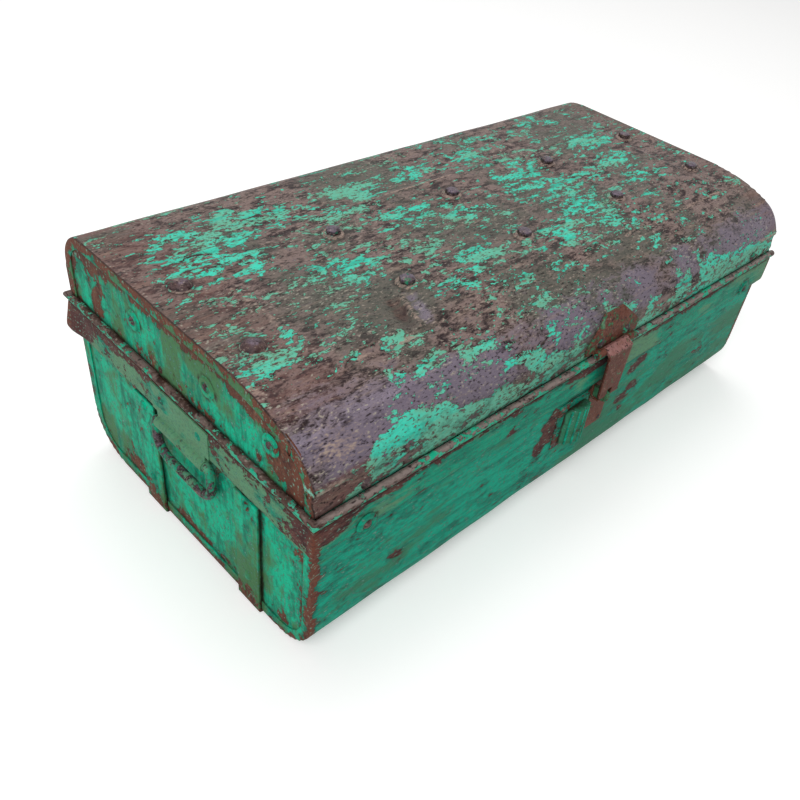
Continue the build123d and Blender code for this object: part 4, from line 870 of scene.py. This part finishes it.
# Bolts through the lid: a washer sunk in old paint and a worn head, the two at the left end worn to low caps
def makeBolts():
    b = boltSizes
    heads, washers = bmesh.new(), bmesh.new()
    tail = [(b["shank"], b["washerHeight"]), (b["shank"], -9), (0, -9)]
    for x in b["xs"]:
        for y in b["ys"]:
            drawn = Vector((x, y, lidSizes["top"]))
            seat = drawn + Vector((0, 0, topLift(drawn)))
            rise = b["washerHeight"]
            top = rise + b["headHeight"]
            r = b["headRadius"]
            if x < -200:
                lathe(heads, seat, [(0, top - 0.4), (3, top - 0.7), (5.6, top - 1.8), (7.6, top - 3.3), (8.4, rise),
                        *tail], b["turns"])
            else:
                lathe(heads, seat, [(0, top - 0.1), (r * 0.5, top), (r * 0.8, top - 0.2), (r, top - 1.1), (r, rise),
                        *tail], b["headSides"])
            w = b["washerRadius"]
            lathe(washers, seat, [(b["shank"], rise), (w - 1.4, rise), (w - 0.3, rise * 0.6), (w + 0.3, -0.3)],
                    b["turns"])
    # bolt heads: a painted highlight on their tops; washers flecked pale all over, as rubbed metal with a painted
    # highlight
    for bm, name, node, material, wear in (
            (heads, "boltHeads", "lid_bolts", fixingIron, {"rusted": lambda co: 0.3 if co.x < -200 else 0.1,
            "rubbedAndSheen": lambda co: 0.9 * (co.z > 215), "paintKept": allOver(-1.0)}),
            (washers, "boltWashers", "lid_bolt_washers", lidPaint, {"rusted": allOver(0.15), "paleWearAndHighlight": allOver(0.55),
            "paintKept": lambda co: 0.2 if co.x < -200 else -0.8})):
        bmesh.ops.remove_doubles(bm, verts=bm.verts, dist=0.001)
        bmesh.ops.recalc_face_normals(bm, faces=bm.faces)
        setWear(bm, wear)
        makePiece(name, bm, [material], "lid", [node])


makeBolts()

# finishes of the small pieces that stay as they were modelled
finishes = [
    (bandPaint, ["band_washers", "handle_rivets", "left_hinge_lower_leaf", "right_hinge_lower_leaf"]),
    (endPaint, ["strap_rivets", "lid_washers"]),
    (casePaint, ["left_hinge_upper_leaf", "right_hinge_upper_leaf"]),
    (fixingIron, ["band_rivets", "left_hinge_pin", "right_hinge_pin", "lower_hinge_rivets", "upper_hinge_rivets",
        "lock_rivets", "lid_rivets", "lid_nuts", "hasp_pin", "hasp_rivets"]),
    (insideIron, ["rim_wire"]), (stripIron, ["lid_strip_" + str(index + 1) for index in range(5)]),
]
for material, nodes in finishes:
    for node in nodes:
        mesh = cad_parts[node].data
        mesh.materials.clear()
        mesh.materials.append(material)
print("hardware made")


# Pale floor, white surroundings and two soft lamps
def makeStudio():
    bm = bmesh.new()
    bmesh.ops.create_grid(bm, x_segments=1, y_segments=1, size=6)
    mesh = bpy.data.meshes.new("floor")
    bm.to_mesh(mesh)
    bm.free()
    floor = bpy.data.objects.new("floor", mesh)
    bpy.context.scene.collection.objects.link(floor)
    # painted board: white and matt, with a little light of its own towards the camera that keeps the
    # studio floor white round the shadow
    white = bpy.data.materials.new("matteWhiteFloor")
    white.use_nodes = True
    mesh.materials.append(white)
    tree = white.node_tree
    tree.nodes.clear()
    path = addNode(tree, "LightPath")
    glow = addNode(tree, "Math", {0: path.outputs["Is Camera Ray"], 1: 0.3}, operation="MULTIPLY")
    shader = addNode(tree, "BsdfPrincipled", {"Base Color": linear("#f4f4f3"), "Roughness": 0.9,
            "Specular IOR Level": 0.1, "Emission Color": linear("#ffffff"), "Emission Strength": glow})
    addNode(tree, "OutputMaterial", {"Surface": shader})

    world = bpy.data.worlds.new("studio")
    bpy.context.scene.world = world
    world.use_nodes = True
    tree = world.node_tree
    tree.nodes.clear()
    path = addNode(tree, "LightPath")
    seen = addNode(tree, "Math", {0: path.outputs["Is Camera Ray"], 1: path.outputs["Is Glossy Ray"]}, operation="ADD")
    seen = addNode(tree, "Math", {0: seen, 1: path.outputs["Is Transmission Ray"]}, operation="ADD", use_clamp=True)
    room = addNode(tree, "Background", {"Color": linear("#ffffff"), "Strength": 0.42})
    backdrop = addNode(tree, "Background", {"Color": linear("#ffffff"), "Strength": 1.0})
    both = addNode(tree, "MixShader", {0: seen, 1: room, 2: backdrop})
    addNode(tree, "OutputWorld", {"Surface": both})

    # name, place and size in metres, watts
    for name, place, size, power in (("keyLamp", (-1.7, -0.9, 2.2), 1.3, 34), ("topLamp", (0.5, 0.8, 2.6), 1.6, 22)):
        data = bpy.data.lights.new(name, "AREA")
        data.shape = "SQUARE"
        data.size = size
        data.energy = power
        lamp = bpy.data.objects.new(name, data)
        lamp.location = place
        lamp.rotation_euler = (Vector((0, 0, 0.1)) - Vector(place)).to_track_quat("-Z", "Y").to_euler()
        bpy.context.scene.collection.objects.link(lamp)


# Camera at the photograph's angle, from the corners of the lid and case measured in it
def makeCamera():
    azimuth, elevation, roll = -0.89955, 0.69798, 0.1701
    distance, across, upwards = 750.45, -17.03, -96.39
    back = Vector((math.sin(azimuth) * math.cos(elevation), -math.cos(azimuth) * math.cos(elevation),
            math.sin(elevation)))
    level = Vector((0, 0, 1)).cross(back).normalized()
    upright = back.cross(level)
    right = math.cos(roll) * level + math.sin(roll) * upright
    up = -math.sin(roll) * level + math.cos(roll) * upright
    place = Vector((0, 0, 112.5)) + back * distance + right * across + up * upwards
    data = bpy.data.cameras.new("camera")
    data.lens = 36.755
    data.sensor_width = 36
    data.shift_x, data.shift_y = -0.0567, 0.0138
    data.clip_start, data.clip_end = 0.01, 50
    camera = bpy.data.objects.new("camera", data)
    camera.matrix_world = Matrix.Translation(place * mm) @ Matrix((right, up, back)).transposed().to_4x4()
    bpy.context.scene.collection.objects.link(camera)
    bpy.context.scene.camera = camera


makeStudio()
makeCamera()
bpy.context.scene.view_settings.view_transform = "Standard"
print("studio made")
